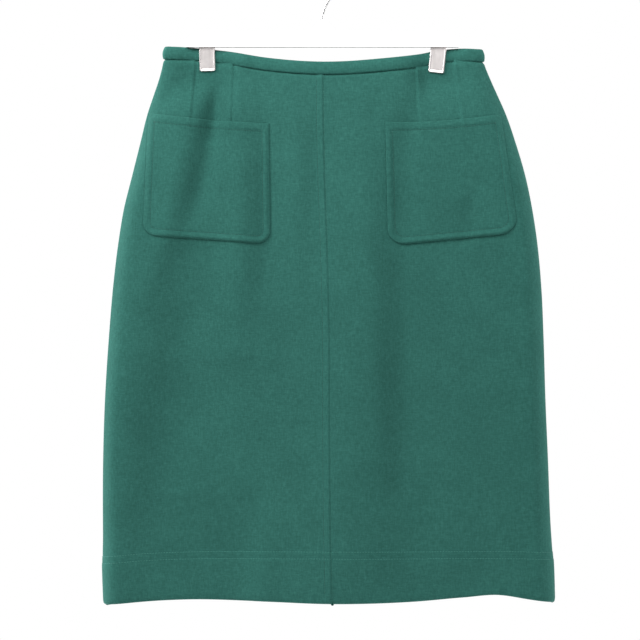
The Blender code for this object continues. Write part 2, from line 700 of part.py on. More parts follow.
def build_zip():
    """Tape inside the back, a slider in the mouth of the zip and a tab that hangs on its bridge."""
    waist = float(read(EDGES, "waist_z", 0.0))
    below_band = np.linspace(TAPE_STEP_LOW + 1 * MM, ZIP_LENGTH, 8)
    heights = waist - np.concatenate([[0.0, BAND_HEIGHT / 2, BAND_HEIGHT], below_band])
    x = np.linspace(-TAPE_HALF_WIDTH, TAPE_HALF_WIDTH, 2 * TAPE_HALF_WIDTH_COLUMNS + 1)[:, None]
    z = heights[None, :] + 0 * x
    in_band = np.clip((z - waist + TAPE_STEP_LOW) / (TAPE_STEP_LOW - TAPE_STEP_HIGH), 0, 1)
    inside = CLOTH_THICK + TAPE_CLEARANCE + in_band * (BAND_THICK - BAND_PROUD - CLOTH_THICK)
    x = x + 0 * z
    y = half_depth("back", place_across(x, z), x, z) - inside
    tape = add_part("zip_tape", grid_mesh("zip_tape", np.stack([x, y, z], axis=-1), True), GREEN_TAPE)
    thicken(tape, TAPE_THICK)

    middle_z, face = slider_place()
    half = SLIDER_WIDTH / 2
    body = box_mesh("zip_slider", (-half, face - SLIDER_THICK, middle_z - SLIDER_HEIGHT / 2),
                    (half, face, middle_z + SLIDER_HEIGHT / 2))
    slider = add_part("zip_slider", body, GREEN_TAPE)
    bevel(slider, SLIDER_BEVEL)
    half = BRIDGE_WIDTH / 2
    arch = box_mesh("bridge", (-half, face - BRIDGE_ROOT, middle_z - BRIDGE_HEIGHT / 2),
                    (half, face + BRIDGE_REACH, middle_z + BRIDGE_HEIGHT / 2))
    bridge = add_cutter("bridge", arch)
    boolean(slider, bridge, "UNION")
    axis_y = face + BRIDGE_REACH / 2
    boolean(slider, add_cutter("bridge_hole", rod_mesh("bridge_hole", BRIDGE_HOLE, SLIDER_WIDTH,
                                                       (0, axis_y, middle_z))), "DIFFERENCE")

    pivot = bpy.data.objects.new("zip_pull_axis", None)
    SKIRT.objects.link(pivot)
    pivot.location = (0, axis_y, middle_z)
    add_part("zip_pull", pull_curve(), GREEN_TAPE, pivot).rotation_euler = (math.pi / 2, 0, 0)


def pull_curve():
    """Flat tab with a window under its crossbar, drawn face on, the crossbar on the origin."""
    curve = bpy.data.curves.new("zip_pull", "CURVE")
    curve.dimensions = "2D"
    curve.fill_mode = "BOTH"
    curve.extrude = PULL_BAR / 2
    top = PULL_BAR / 2
    low_middle = -PULL_LENGTH + PULL_END_WIDTH / 2
    arc = np.linspace(0, math.pi, 11)
    outline = [(PULL_TOP_WIDTH / 2, top), (-PULL_TOP_WIDTH / 2, top)]
    outline += [(-PULL_END_WIDTH / 2 * math.cos(a), low_middle - PULL_END_WIDTH / 2 * math.sin(a)) for a in arc]
    half = PULL_WINDOW_WIDTH / 2
    window = [(-half, -top), (half, -top), (half, -PULL_WINDOW_HEIGHT), (-half, -PULL_WINDOW_HEIGHT)]
    for loop in (outline, window):
        spline = curve.splines.new("POLY")
        spline.points.add(len(loop) - 1)
        spline.use_cyclic_u = True
        for point, (x, y) in zip(spline.points, loop):
            point.co = (x, y, 0, 1)
    return curve


build_panels()
build_waistband()
build_pockets()
build_hook()
build_hanger([build_clip(clip) for clip in CLIPS])
build_zip()
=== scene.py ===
import math
import bpy
import numpy as np
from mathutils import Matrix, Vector


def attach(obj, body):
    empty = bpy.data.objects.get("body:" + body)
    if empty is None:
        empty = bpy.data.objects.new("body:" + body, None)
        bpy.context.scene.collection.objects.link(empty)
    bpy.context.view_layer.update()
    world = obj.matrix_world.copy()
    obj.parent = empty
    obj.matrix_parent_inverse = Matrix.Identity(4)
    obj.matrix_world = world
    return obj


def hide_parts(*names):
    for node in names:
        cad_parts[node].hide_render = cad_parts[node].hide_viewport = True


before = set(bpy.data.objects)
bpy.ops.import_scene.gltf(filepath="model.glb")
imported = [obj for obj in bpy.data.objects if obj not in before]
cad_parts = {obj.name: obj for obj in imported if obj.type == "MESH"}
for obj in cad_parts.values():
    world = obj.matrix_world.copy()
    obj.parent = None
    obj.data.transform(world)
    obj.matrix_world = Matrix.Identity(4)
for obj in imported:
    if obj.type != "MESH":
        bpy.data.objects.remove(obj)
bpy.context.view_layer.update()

mm = 0.001
print("frame loaded:", len(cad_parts), "nodes")

# height, left and right edge at the side fold, how far front and back belly out
outline = np.array([
    (-100, -177, 179, 6, 7),
    (-119, -179.5, 182, 7, 8),
    (-137, -184, 189, 8.5, 9),
    (-155, -190, 197, 10, 10),
    (-173, -196, 205, 11.5, 11.5),
    (-209, -205, 217.5, 13, 13),
    (-245, -214, 228, 14, 14),
    (-281, -223, 235.5, 14, 14.5),
    (-317, -229, 241, 14, 14.5),
    (-371, -235.5, 246, 14, 14.5),
    (-425, -240, 248.4, 14, 15),
    (-497, -244.5, 250.6, 14, 15),
    (-568, -246.6, 253.6, 14.5, 15.5),
    (-631, -246.8, 256, 15, 16),
    (-685, -246, 259.4, 15.5, 16.5),
    (-730, -244, 260.6, 16, 17),
]) * mm

# place across (-1 to 1), top of the waistband, first hem row, hem of the front and of the back
edges = np.array([
    (-1.0, -99.5, -672, -726, -727),
    (-0.88, -100.5, -669, -722.9, -724),
    (-0.64, -104.5, -666.5, -719.9, -719),
    (-0.38, -112, -666, -721.3, -718),
    (0.0, -116.8, -666, -724.7, -720),
    (0.38, -113, -666, -721.9, -718),
    (0.6, -108.6, -665.5, -717.4, -716.5),
    (0.76, -103.5, -665.5, -714.5, -716),
    (0.9, -101.8, -666, -719.5, -719),
    (1.0, -102.5, -667, -723.4, -724),
]) * [1, mm, mm, mm, mm]

# height, centre seam of the front and of the back
seams = np.array([
    (-100, 1.0, 0), (-204, 1.9, 0), (-339, 6.2, 1.0), (-407, 7.9, 1.6),
    (-541, 8.5, 2.6), (-640, 9.3, 3.4), (-730, 11.2, 4.0),
]) * mm

# height, how square the section is towards the left and the right fold: the higher, the narrower the roll
squareness = np.array([
    (-100, 14, 16), (-160, 22, 30), (-220, 28, 42), (-420, 32, 48), (-560, 42, 50), (-730, 36, 50),
]) * [mm, 1, 1]

cloth = {
    "thick": 1.8 * mm, "edgeRadius": 5 * mm,
    "bandHeight": 14.4 * mm, "allowance": 4 * mm, "rowSpacing": 7.8 * mm,
    "pinchDepth": 2.85 * mm, "pinchFlat": 10 * mm, "pinchInnerFade": 21 * mm,
    "pinchOuterFade": 30 * mm, "clearance": 0.3 * mm, "foldFade": 0.8, "foldsEnd": 6,
    "mouthHalf": 4.3 * mm, "mouthTaper": 22 * mm, "mouthPower": 1.5, "mouthClosed": 0.12 * mm,
    "seamHalf": 0.05 * mm,
    "pinchBottom": -134 * mm, "pinchDownFade": 26 * mm, "pinchEdge": 0.84,
    "clips": (-130 * mm, 131 * mm),
}

# soft folds: top and bottom height, x at top, middle and bottom, half width, height (below zero a trough)
frontFolds = np.array([
    (-112, -305, -116, -126, -148, 14, -7.2),     # valley from the left clip over the pocket
    (-100, -212, -115, -119, -126, 11, -9),       # the same, deeper just under the clip
    (-116, -400, -155, -166, -208, 18, 7),        # ridge outside that valley
    (-170, -390, -76, -60, -72, 13, -1.6),        # shallow dip near the pocket's inner edge
    (-122, -180, -156, -170, -188, 10, -6),       # short dip across the left yoke
    (-115, -400, -27, -28, -34, 17, 3.5),         # ridge left of the centre seam
    (-112, -190, -100, -101, -103, 12, 2.6),      # ridge inside the valley, down to the pocket
    (-130, -450, -91, -91, -95, 18, 5),           # the same, broader, over the pocket and below
    (-320, -600, -150, -158, -168, 40, -11.5),    # hollow down the left side
    (-440, -800, -194, -193, -190, 32, -5),       # shallower one nearer the left edge, to the hem
    (-450, -820, -122, -118, -110, 68, -13),      # wide hollow above the hem, left
    (-240, -640, 50, 58, 64, 15, 2.8),            # sharper right edge of the broad ridge below
    (-240, -640, 88, 90, 92, 16, -2.2),           # trough beside that edge
    (-140, -740, 40, 38, 30, 44, 10.5),           # broad ridge right of the centre
    (-114, -330, 124, 92, 100, 18, -4.2),         # dip from the right clip down over the pocket
    (-235, -330, 176, 168, 160, 13, -2.5),        # small dip in the right pocket
    (-640, -770, -68, -68, -66, 17, 4.5),         # ridge in the hem, left of the centre
    (-680, -790, 146, 146, 146, 28, -3.5),        # dip in the hem, right
]) * mm
backFolds = np.array([
    (-112, -330, 118, 128, 150, 14, -6),
    (-120, -400, 152, 164, 200, 17, 4),
    (-150, -360, -112, -122, -138, 16, -5),
    (-290, -640, 150, 154, 156, 42, -9),
    (-430, -790, 172, 174, 176, 40, -7),
    (-180, -680, -52, -48, -38, 50, 7),
    (-420, -740, 40, 34, 22, 20, 2.5),
    (-640, -760, 84, 82, 80, 15, -3),
]) * mm

# darts: x and height at the waist seam and at the point, how strongly it shows
frontDarts = np.array([
    (-142, -120, -147.5, -188, 1.5), (-100, -124, -102.5, -194, 2.8), (104, -124, 108.5, -196, 2.2),
    (146.5, -120, 156, -190, 3.2),
]) * [mm, mm, mm, mm, 1]
backDarts = np.array([
    (-124, -118, -126, -238, 1), (-74, -124, -76, -252, 1.2), (76, -124, 78, -252, 1.2), (126, -118, 128, -238, 1),
]) * [mm, mm, mm, mm, 1]


def smoothRead(table, column, at):
    # value of a column at any place of the first one: a cubic through the rows, with neighbour slopes
    order = np.argsort(table[:, 0])
    places, values = table[order, 0], table[order, column]
    slopes = np.gradient(values, places)
    at = np.clip(at, places[0], places[-1])
    k = np.clip(np.searchsorted(places, at) - 1, 0, len(places) - 2)
    step = places[k + 1] - places[k]
    t = (at - places[k]) / step
    return (values[k] * (1 + 2 * t) * (1 - t) ** 2 + slopes[k] * step * t * (1 - t) ** 2
            + values[k + 1] * t * t * (3 - 2 * t) + slopes[k + 1] * step * t * t * (t - 1))


def sideFolds(z):
    # the middle between the side folds, and how far the section reaches before it turns round them
    left, right = smoothRead(outline, 1, z), smoothRead(outline, 2, z)
    return (left + right) / 2, (right - left) / 2 - cloth["edgeRadius"]


def ofPanel(table, column, panel, at):
    # a column that holds the front, or the next one, which holds the back
    return smoothRead(table, column + (panel == "back"), at)


waistTop = float(smoothRead(edges, 1, np.array(0.0)))      # the waistband's top edge at the middle


def bell(distance, width):
    # 1 at the line, falling off on both sides
    return np.exp(-(distance / width) ** 2)


def clipPinch(x, z):
    # 1 where a clip presses front and back together, fading beside and below it
    held = np.zeros_like(x * z)
    below = np.maximum(cloth["pinchBottom"] - z, 0) / cloth["pinchDownFade"]
    for clipX in cloth["clips"]:
        fade = np.where((x - clipX) * clipX > 0, cloth["pinchOuterFade"], cloth["pinchInnerFade"])
        beside = np.maximum(np.abs(x - clipX) - cloth["pinchFlat"], 0) / fade
        held = np.maximum(held, np.exp(-beside ** 2 - below ** 2))
    return held


def foldHeight(panel, x, z):
    # sum of the folds: a bell across a path through three points, faded at both ends
    height = np.zeros_like(x * z)
    for top, bottom, topX, middleX, bottomX, halfWidth, peak in (frontFolds if panel == "front" else backFolds):
        along = np.clip((top - z) / (top - bottom), 0, 1)
        path = (topX * (1 - along) * (1 - 2 * along) + 4 * middleX * along * (1 - along)
                + bottomX * along * (2 * along - 1))
        height = height + peak * np.sin(math.pi * along) ** cloth["foldFade"] * bell(x - path, halfWidth)
    return height


def placeAcross(x, z):
    # -1 at the left side fold, 1 at the right one
    middle, reach = sideFolds(z)
    return np.clip((x - middle) / reach, -1, 1)


def squareAt(across, z):
    # the power of the section's curve, on the left or on the right of the middle
    return np.where(across < 0, smoothRead(squareness, 1, z), smoothRead(squareness, 2, z))


def halfDepth(panel, across, x, z):
    # distance of the outer face from the middle plane: fold radius, belly and folds, less the pinch of the clips
    lens = ofPanel(outline, 3, panel, z) * (1 - np.abs(across) ** squareAt(across, z))
    free = cloth["edgeRadius"] + lens + foldHeight(panel, x, z) * (1 - np.abs(across) ** cloth["foldsEnd"])
    free = np.maximum(free, cloth["thick"] + cloth["clearance"])
    held = clipPinch(x, z)
    atEdge = np.clip((np.abs(across) - cloth["pinchEdge"]) / (1 - cloth["pinchEdge"]), 0, 1) ** 2
    clipped = cloth["pinchDepth"] * (1 - atEdge) + cloth["edgeRadius"] * atEdge
    return free * (1 - held) + clipped * held


def softStep(distance, width):
    # 0 before the line, 1 after it, with a rounded rise between
    return 0.5 + 0.5 * np.tanh(distance / width)


# what is sewn into the panels; a pair is a height and a width
sewn = {
    "seamGroove": (0.12 * mm, 1.8 * mm), "seamRidge": (0.35 * mm, 1.6 * mm), "seamRidgeAway": 2.4 * mm,
    "flange": 0.75 * mm, "flangeOuter": 7.6 * mm, "flangeInner": 0.6 * mm, "flangeRow": 8.2 * mm,
    "zipLip": (0.4 * mm, 3.2 * mm), "zipLipAway": 3.5 * mm, "zipLipEnd": -0.318,
    "zipGroove": (0.3 * mm, 1.0 * mm), "zipRow": 7 * mm, "zipRowEnd": -0.314,
    "rowGroove": (0.15 * mm, 0.8 * mm), "hemRowStep": 0.65 * mm, "hemRowRise": 1.1 * mm,
    "sideGroove": (0.9 * mm, 1.2 * mm), "hemRound": 1.4 * mm, "hemRoundHeight": 6 * mm,
    "waistTuck": 1.7 * mm, "waistTuckBelow": 1.6 * mm,
    "dartStep": 0.95 * mm, "dartGroove": (0.45 * mm, 1.0 * mm), "dartReach": 9 * mm, "dartTip": 3 * mm,
    "rightSwell": (0.9 * mm, 0.024), "rightSwellAcross": 0.955, "rightSwellTop": -0.23,
    "cornerSwell": (2.6 * mm, 10 * mm), "cornerSwellX": -0.232, "cornerSwellTop": -0.66,
}


def ridge(distance, heightAndWidth):
    # a bell of its own height and width
    return heightAndWidth[0] * bell(distance, heightAndWidth[1])


def dartRelief(panel, x, z):
    # a sewn dart: a step down towards the centre with a fine groove, running out at its point
    relief = np.zeros_like(x * z)
    for topX, topZ, tipX, tipZ, strength in (frontDarts if panel == "front" else backDarts):
        along = np.clip((topZ - z) / (topZ - tipZ), 0, 1)
        outward = (x - (topX + (tipX - topX) * along)) * np.sign(topX)
        fade = softStep(z - tipZ + sewn["dartTip"], sewn["dartTip"])
        raised = softStep(outward - 0.4 * mm, 0.9 * mm) * np.exp(-np.maximum(outward, 0) / sewn["dartReach"])
        relief += strength * fade * (sewn["dartStep"] * raised - ridge(outward, sewn["dartGroove"]))
    return relief


def panelRelief(panel, across, turn, x, z, rowZ, seamZ, hemZ):
    # height over the plain cloth: bells and soft steps for the seams, the darts, the two hem rows, the rolled
    # hem and the waist seam, then two swellings of the front, at the right side and at the left hem corner
    s = sewn
    fromSeam = x - ofPanel(seams, 1, panel, z)
    relief = ridge(fromSeam + s["seamRidgeAway"], s["seamRidge"]) - ridge(fromSeam, s["seamGroove"])
    if panel == "front":
        flange = softStep(fromSeam + s["flangeOuter"], 1.3 * mm)
        flange = flange * (1 - softStep(fromSeam + s["flangeInner"], 0.8 * mm))
        relief += s["flange"] * flange - ridge(fromSeam + s["flangeRow"], s["rowGroove"])
    else:
        fromZip = np.abs(fromSeam)
        relief += softStep(z - s["zipLipEnd"], 3 * mm) * ridge(fromZip - s["zipLipAway"], s["zipLip"])
        relief -= softStep(z - s["zipRowEnd"], 1.5 * mm) * ridge(fromZip - s["zipRow"], s["zipGroove"])
    relief += dartRelief(panel, x, z) * (turn <= 0)
    sideSeam = (math.pi / 2 - turn) * cloth["edgeRadius"]
    relief -= ridge(sideSeam, s["sideGroove"]) * (np.abs(across) >= 1)
    shown = 0.8 + 1.4 * bell(x + 55 * mm, 75 * mm)       # the hem rows show most left of the centre
    for below in (0, cloth["rowSpacing"]):
        fromRow = rowZ - z - below
        relief += shown * (s["hemRowStep"] * softStep(fromRow, s["hemRowRise"]) - ridge(fromRow, s["rowGroove"]))
    relief -= s["hemRound"] * np.clip(1 - (z - hemZ) / s["hemRoundHeight"], 0, 1) ** 2
    relief -= s["waistTuck"] * (1 - softStep(seamZ - z - s["waistTuckBelow"], 1.2 * mm))
    if panel == "front":
        rightEdge = ridge(across - s["rightSwellAcross"], s["rightSwell"])
        relief += rightEdge * softStep(s["rightSwellTop"] - z, 30 * mm)
        hemCorner = ridge(x - s["cornerSwellX"], s["cornerSwell"]) * np.cos(turn) ** 2
        relief += hemCorner * softStep(s["cornerSwellTop"] - z, 12 * mm)
    return relief


def lensTurn(panel, across, x, z, reach):
    # how far the belly has turned away from the front: the angle of its slope, none where a clip holds it
    power = squareAt(across, z)
    slope = ofPanel(outline, 3, panel, z) * power * np.abs(across) ** (power - 1) / reach
    return np.arctan(slope) * (1 - clipPinch(x, z))


def facePoints(panel, across, turn, z, out):
    # a point of the section: the belly's curve moved out along its normal, then on round the side fold
    middle, reach = sideFolds(z)
    coreX = middle + across * reach
    angle = lensTurn(panel, across, coreX, z, reach)
    angle = angle + (sideTurns[0] - angle) * turn / sideTurns[0]
    x = coreX + np.sign(across) * (cloth["edgeRadius"] + out) * np.sin(angle)
    depth = halfDepth(panel, across, coreX, z) - cloth["edgeRadius"] + (cloth["edgeRadius"] + out) * np.cos(angle)
    return np.stack([x, -depth if panel == "front" else depth, z + 0 * x], axis=-1)


def makeMesh(name, points, closeAcross=False, closeDown=False, flip=False, caps=False):
    # a grid of quads over an array of points; either direction can close on itself
    columns, rows = points.shape[:2]
    index = np.arange(columns * rows).reshape(columns, rows)
    if closeAcross:
        index = np.concatenate([index, index[:1]])
    if closeDown:
        index = np.concatenate([index, index[:, :1]], axis=1)
    quads = np.stack([index[:-1, :-1], index[:-1, 1:], index[1:, 1:], index[1:, :-1]], axis=-1).reshape(-1, 4)
    if flip:
        quads = quads[:, ::-1]
    faces = quads.tolist()
    if caps:
        first, last = index[0, :rows].tolist(), index[-1, :rows].tolist()
        faces += [first[::-1], last] if flip else [first, last[::-1]]
    mesh = bpy.data.meshes.new(name)
    mesh.from_pydata(points.reshape(-1, 3).tolist(), [], faces)
    mesh.validate()
    mesh.shade_smooth()
    return mesh


def addPiece(name, mesh, material, nodes=(), body="skirt"):
    piece = bpy.data.objects.new(name, mesh)
    bpy.context.scene.collection.objects.link(piece)
    mesh.materials.append(material)
    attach(piece, body)
    if nodes:
        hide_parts(*nodes)
    return piece


def addWall(piece, thick):
    wall = piece.modifiers.new("cloth thickness", "SOLIDIFY")
    wall.thickness = thick
    wall.offset = -1
    wall.use_even_offset = False


def nodeMaterial(name):
    # a material with its node tree, its shader and the node that gives Object coordinates
    material = bpy.data.materials.new(name)
    material.use_nodes = True
    tree = material.node_tree
    return material, tree, tree.nodes["Principled BSDF"], addNode(tree, "ShaderNodeTexCoord")


def addNode(tree, kind, inputs=None, **settings):
    node = tree.nodes.new(kind)
    for key, value in settings.items():
        setattr(node, key, value)
    for key, value in (inputs or {}).items():
        node.inputs[key].default_value = value
    return node


def addNoise(tree, source, scale, detail=3, stretch=(1, 1, 1), roughness=0.55):
    mapping = addNode(tree, "ShaderNodeMapping")
    mapping.inputs["Scale"].default_value = stretch
    tree.links.new(source.outputs["Object"], mapping.inputs["Vector"])
    noise = addNode(tree, "ShaderNodeTexNoise", {"Scale": scale, "Detail": detail, "Roughness": roughness})
    tree.links.new(mapping.outputs["Vector"], noise.inputs["Vector"])
    return noise


def addRamp(tree, source, stops):
    ramp = addNode(tree, "ShaderNodeValToRGB")
    band = ramp.color_ramp
    band.elements[0].position, band.elements[0].color = stops[0][0], (*stops[0][1], 1)
    band.elements[1].position, band.elements[1].color = stops[-1][0], (*stops[-1][1], 1)
    for place, colour in stops[1:-1]:
        band.elements.new(place).color = (*colour, 1)
    tree.links.new(source, ramp.inputs["Fac"])
    return ramp


def mixColours(tree, mode, amount, first, second):
    mix = addNode(tree, "ShaderNodeMix", data_type="RGBA", blend_type=mode)
    if hasattr(amount, "links"):
        tree.links.new(amount, mix.inputs[0])
    else:
        mix.inputs[0].default_value = amount
    tree.links.new(first, mix.inputs[6])
    tree.links.new(second, mix.inputs[7])
    return mix.outputs[2]


def addBump(tree, height, strength, distance, previous=None):
    bump = addNode(tree, "ShaderNodeBump", {"Strength": strength, "Distance": distance})
    tree.links.new(height, bump.inputs["Height"])
    if previous:
        tree.links.new(previous.outputs["Normal"], bump.inputs["Normal"])
    return bump


def setColour(tree, shader, pattern, stops):
    ramp = addRamp(tree, pattern.outputs["Fac"], stops)
    tree.links.new(ramp.outputs["Color"], shader.inputs["Base Color"])


def setRoughness(tree, shader, pattern, low, high):
    rough = addNode(tree, "ShaderNodeMapRange", {"To Min": low, "To Max": high})
    tree.links.new(pattern.outputs["Fac"], rough.inputs["Value"])
    tree.links.new(rough.outputs["Result"], shader.inputs["Roughness"])


def setBump(tree, shader, pattern, strength, distance, previous=None):
    bump = addBump(tree, pattern.outputs["Fac"], strength, distance, previous)
    tree.links.new(bump.outputs["Normal"], shader.inputs["Normal"])


wool = {
    "dark": (0.0125, 0.064, 0.052), "middle": (0.019, 0.088, 0.0725), "light": (0.029, 0.119, 0.099),
    "yarnScale": 620, "nap": 2600, "sheen": 0.45,
}


def woolMaterial(name, paintedLight=1.0):
    # heathered felted wool: yarn flecks along and across, slow patches of colour, a fuzzy nap
    material, tree, shader, source = nodeMaterial(name)
    across = addNoise(tree, source, wool["yarnScale"], 3, (0.28, 1, 1))
    down = addNoise(tree, source, wool["yarnScale"], 3, (1, 1, 0.28))
    nap = addNoise(tree, source, wool["nap"], 4)
    patches = addNoise(tree, source, 24, 4)
    yarn = mixColours(tree, "MIX", 0.5, across.outputs["Fac"], down.outputs["Fac"])
    yarnAndNap = mixColours(tree, "MIX", 0.35, yarn, nap.outputs["Fac"])
    stops = [(0.33, wool["dark"]), (0.5, wool["middle"]), (0.68, wool["light"])]
    # paintedLight scales the fleck colours: above 1 it is a copy of the wool painted lighter, as painted light
    colour = addRamp(tree, yarnAndNap, [(p, tuple(c * paintedLight for c in rgb)) for p, rgb in stops])
    slow = addRamp(tree, patches.outputs["Fac"], [(0.3, (0.93, 0.94, 0.94)), (0.7, (1.07, 1.06, 1.06))])
    tree.links.new(mixColours(tree, "MULTIPLY", 1.0, colour.outputs["Color"], slow.outputs["Color"]),
                   shader.inputs["Base Color"])
    setRoughness(tree, shader, nap, 0.86, 1.0)
    yarnBump = addBump(tree, yarn, 0.55, 0.5 * mm)
    setBump(tree, shader, nap, 0.45, 0.25 * mm, yarnBump)
    shader.inputs["Specular IOR Level"].default_value = 0.1
    shader.inputs["Sheen Weight"].default_value = wool["sheen"]
    shader.inputs["Sheen Roughness"].default_value = 0.25
    shader.inputs["Sheen Tint"].default_value = (0.4, 0.85, 0.75, 1)
    return material


def threadMaterial(name, colour):
    # spun thread: fine slanting ply lines
    material, tree, shader, source = nodeMaterial(name)
    ply = addNode(tree, "ShaderNodeTexWave", {"Scale": 900, "Distortion": 1.5}, wave_type="BANDS",
                  bands_direction="DIAGONAL")
    tree.links.new(source.outputs["Object"], ply.inputs["Vector"])
    low, high = tuple(c * 0.75 for c in colour), tuple(c * 1.25 for c in colour)
    setColour(tree, shader, ply, [(0.2, low), (0.8, high)])
    setBump(tree, shader, ply, 0.4, 0.1 * mm)
    shader.inputs["Roughness"].default_value = 0.6
    shader.inputs["Specular IOR Level"].default_value = 0.2
    return material


def metalMaterial(name, colour, roughness, brushed=(1, 1, 1), grainScale=900):
    # satin or bright steel: fine stretched grain, faint clouding in the polish
    material, tree, shader, source = nodeMaterial(name)
    grain = addNoise(tree, source, grainScale, 4, brushed)
    cloud = addNoise(tree, source, 60, 3)
    dark, light = tuple(c * 0.9 for c in colour), tuple(min(1, c * 1.06) for c in colour)
    setColour(tree, shader, cloud, [(0.3, dark), (0.7, light)])
    setRoughness(tree, shader, grain, roughness * 0.8, roughness * 1.25)
    setBump(tree, shader, grain, 0.12, 0.05 * mm)
    shader.inputs["Metallic"].default_value = 1
    return material


def plasticMaterial(name, colour, roughness):
    # moulded plastic: a slight ripple and a fine grain in the gloss
    material, tree, shader, source = nodeMaterial(name)
    ripple, grain = addNoise(tree, source, 35, 2), addNoise(tree, source, 1500, 3)
    low = tuple(c * 0.97 for c in colour)
    setColour(tree, shader, ripple, [(0.3, low), (0.7, colour)])
    setRoughness(tree, shader, grain, roughness * 0.85, roughness * 1.2)
    rippled = addBump(tree, ripple.outputs["Fac"], 0.1, 0.5 * mm)
    setBump(tree, shader, grain, 0.08, 0.05 * mm, rippled)
    return material


def tapeMaterial(name):
    # woven zip tape: a fine rib along the tape
    material, tree, shader, source = nodeMaterial(name)
    rib = addNode(tree, "ShaderNodeTexWave", {"Scale": 260, "Distortion": 0.4}, bands_direction="Z")
    tree.links.new(source.outputs["Object"], rib.inputs["Vector"])
    setColour(tree, shader, rib, [(0.2, (0.010, 0.050, 0.042)), (0.8, (0.020, 0.085, 0.071))])
    setBump(tree, shader, rib, 0.5, 0.15 * mm)
    shader.inputs["Roughness"].default_value = 0.8
    return material


woolCloth = woolMaterial("feltedWool")
# the waistband's copy of the wool is painted 4.5% lighter than the panels': painted light on the band
bandClothPaintedLight = woolMaterial("feltedWoolBandPaintedLight", 1.045)
# the hem and zip thread is painted lighter than the cloth: painted highlight along the stitched rows
threadPaintedHighlight = threadMaterial("greenThreadPaintedHighlight", (0.034, 0.145, 0.122))
# the pocket and front-seam thread is painted darker than the cloth: painted shade in the stitched grooves
threadPaintedShade = threadMaterial("greenThreadPaintedShade", (0.018, 0.082, 0.068))
satinSteel = metalMaterial("satinSteel", (0.755, 0.712, 0.702), 0.42, (1, 1, 0.08))
brightWire = metalMaterial("brightWire", (0.74, 0.74, 0.74), 0.22, (1, 1, 0.15))
zipEnamel = plasticMaterial("zipEnamel", (0.024, 0.098, 0.082), 0.35)
whitePlastic = plasticMaterial("whitePlastic", (0.9, 0.9, 0.89), 0.32)
zipTape = tapeMaterial("zipTapeWeave")
print("materials made")

panelSettings = {
    "columnStep": 2.1 * mm, "seamStep": 0.75 * mm, "seamZone": 12 * mm, "rowStep": 2.9 * mm, "rowFine": 0.75 * mm,
    "rolledEdge": (0, -0.03 * mm, -0.3 * mm), "cornerRise": 7 * mm, "edgeNotch": 1.0 * mm,
    "columnSpan": 0.25, "rowSpan": 0.55, "hemDepth": 50 * mm, "hemOverlap": 2 * mm, "middleZ": -0.4, "passes": 3,
}
sideTurns = np.radians(np.array([89.7, 85, 78, 70, 61, 51, 41, 31, 21, 10.5]))


def gradedSteps(length, step, fineZones, fineStep):
    # places from 0 to length, close together inside the fine zones (start, end) and wider elsewhere
    fine = np.arange(0, length, fineStep / 3)
    density = np.full(len(fine), 1 / step)
    for start, end in fineZones:
        nearness = np.clip(1 - np.maximum(start - fine, fine - end) / (3 * step), 0, 1)
        density = np.maximum(density, 1 / step + nearness * (1 / fineStep - 1 / step))
    travelled = np.concatenate([[0], np.cumsum(density[:-1] * np.diff(fine))])
    count = int(math.ceil(travelled[-1])) + 1
    return np.interp(np.linspace(0, travelled[-1], count), travelled, fine) / fine[-1]


def zipGap(z):
    # half the space between the back edges: wide round the slider, closed below it
    below = np.clip((waistTop - cloth["bandHeight"] - z) / cloth["mouthTaper"], 0, 1)
    return cloth["mouthHalf"] * (1 - below) ** cloth["mouthPower"] + cloth["mouthClosed"]


def panelAcross(panel, side, columns, seamZ):
    # columns run round the side fold and on to the centre seam
    sign = -1 if side == "left" else 1
    middle, reach = sideFolds(seamZ)
    space = zipGap(seamZ) if panel == "back" else cloth["seamHalf"]
    end = (ofPanel(seams, 1, panel, seamZ) + sign * space - middle) / reach
    inner = sign + (end - sign) * columns[:, None]
    across = np.concatenate([sign + 0 * sideTurns[:, None] * seamZ, inner])
    turn = np.concatenate([sideTurns[:, None] + 0 * seamZ, 0 * inner])
    return across, turn


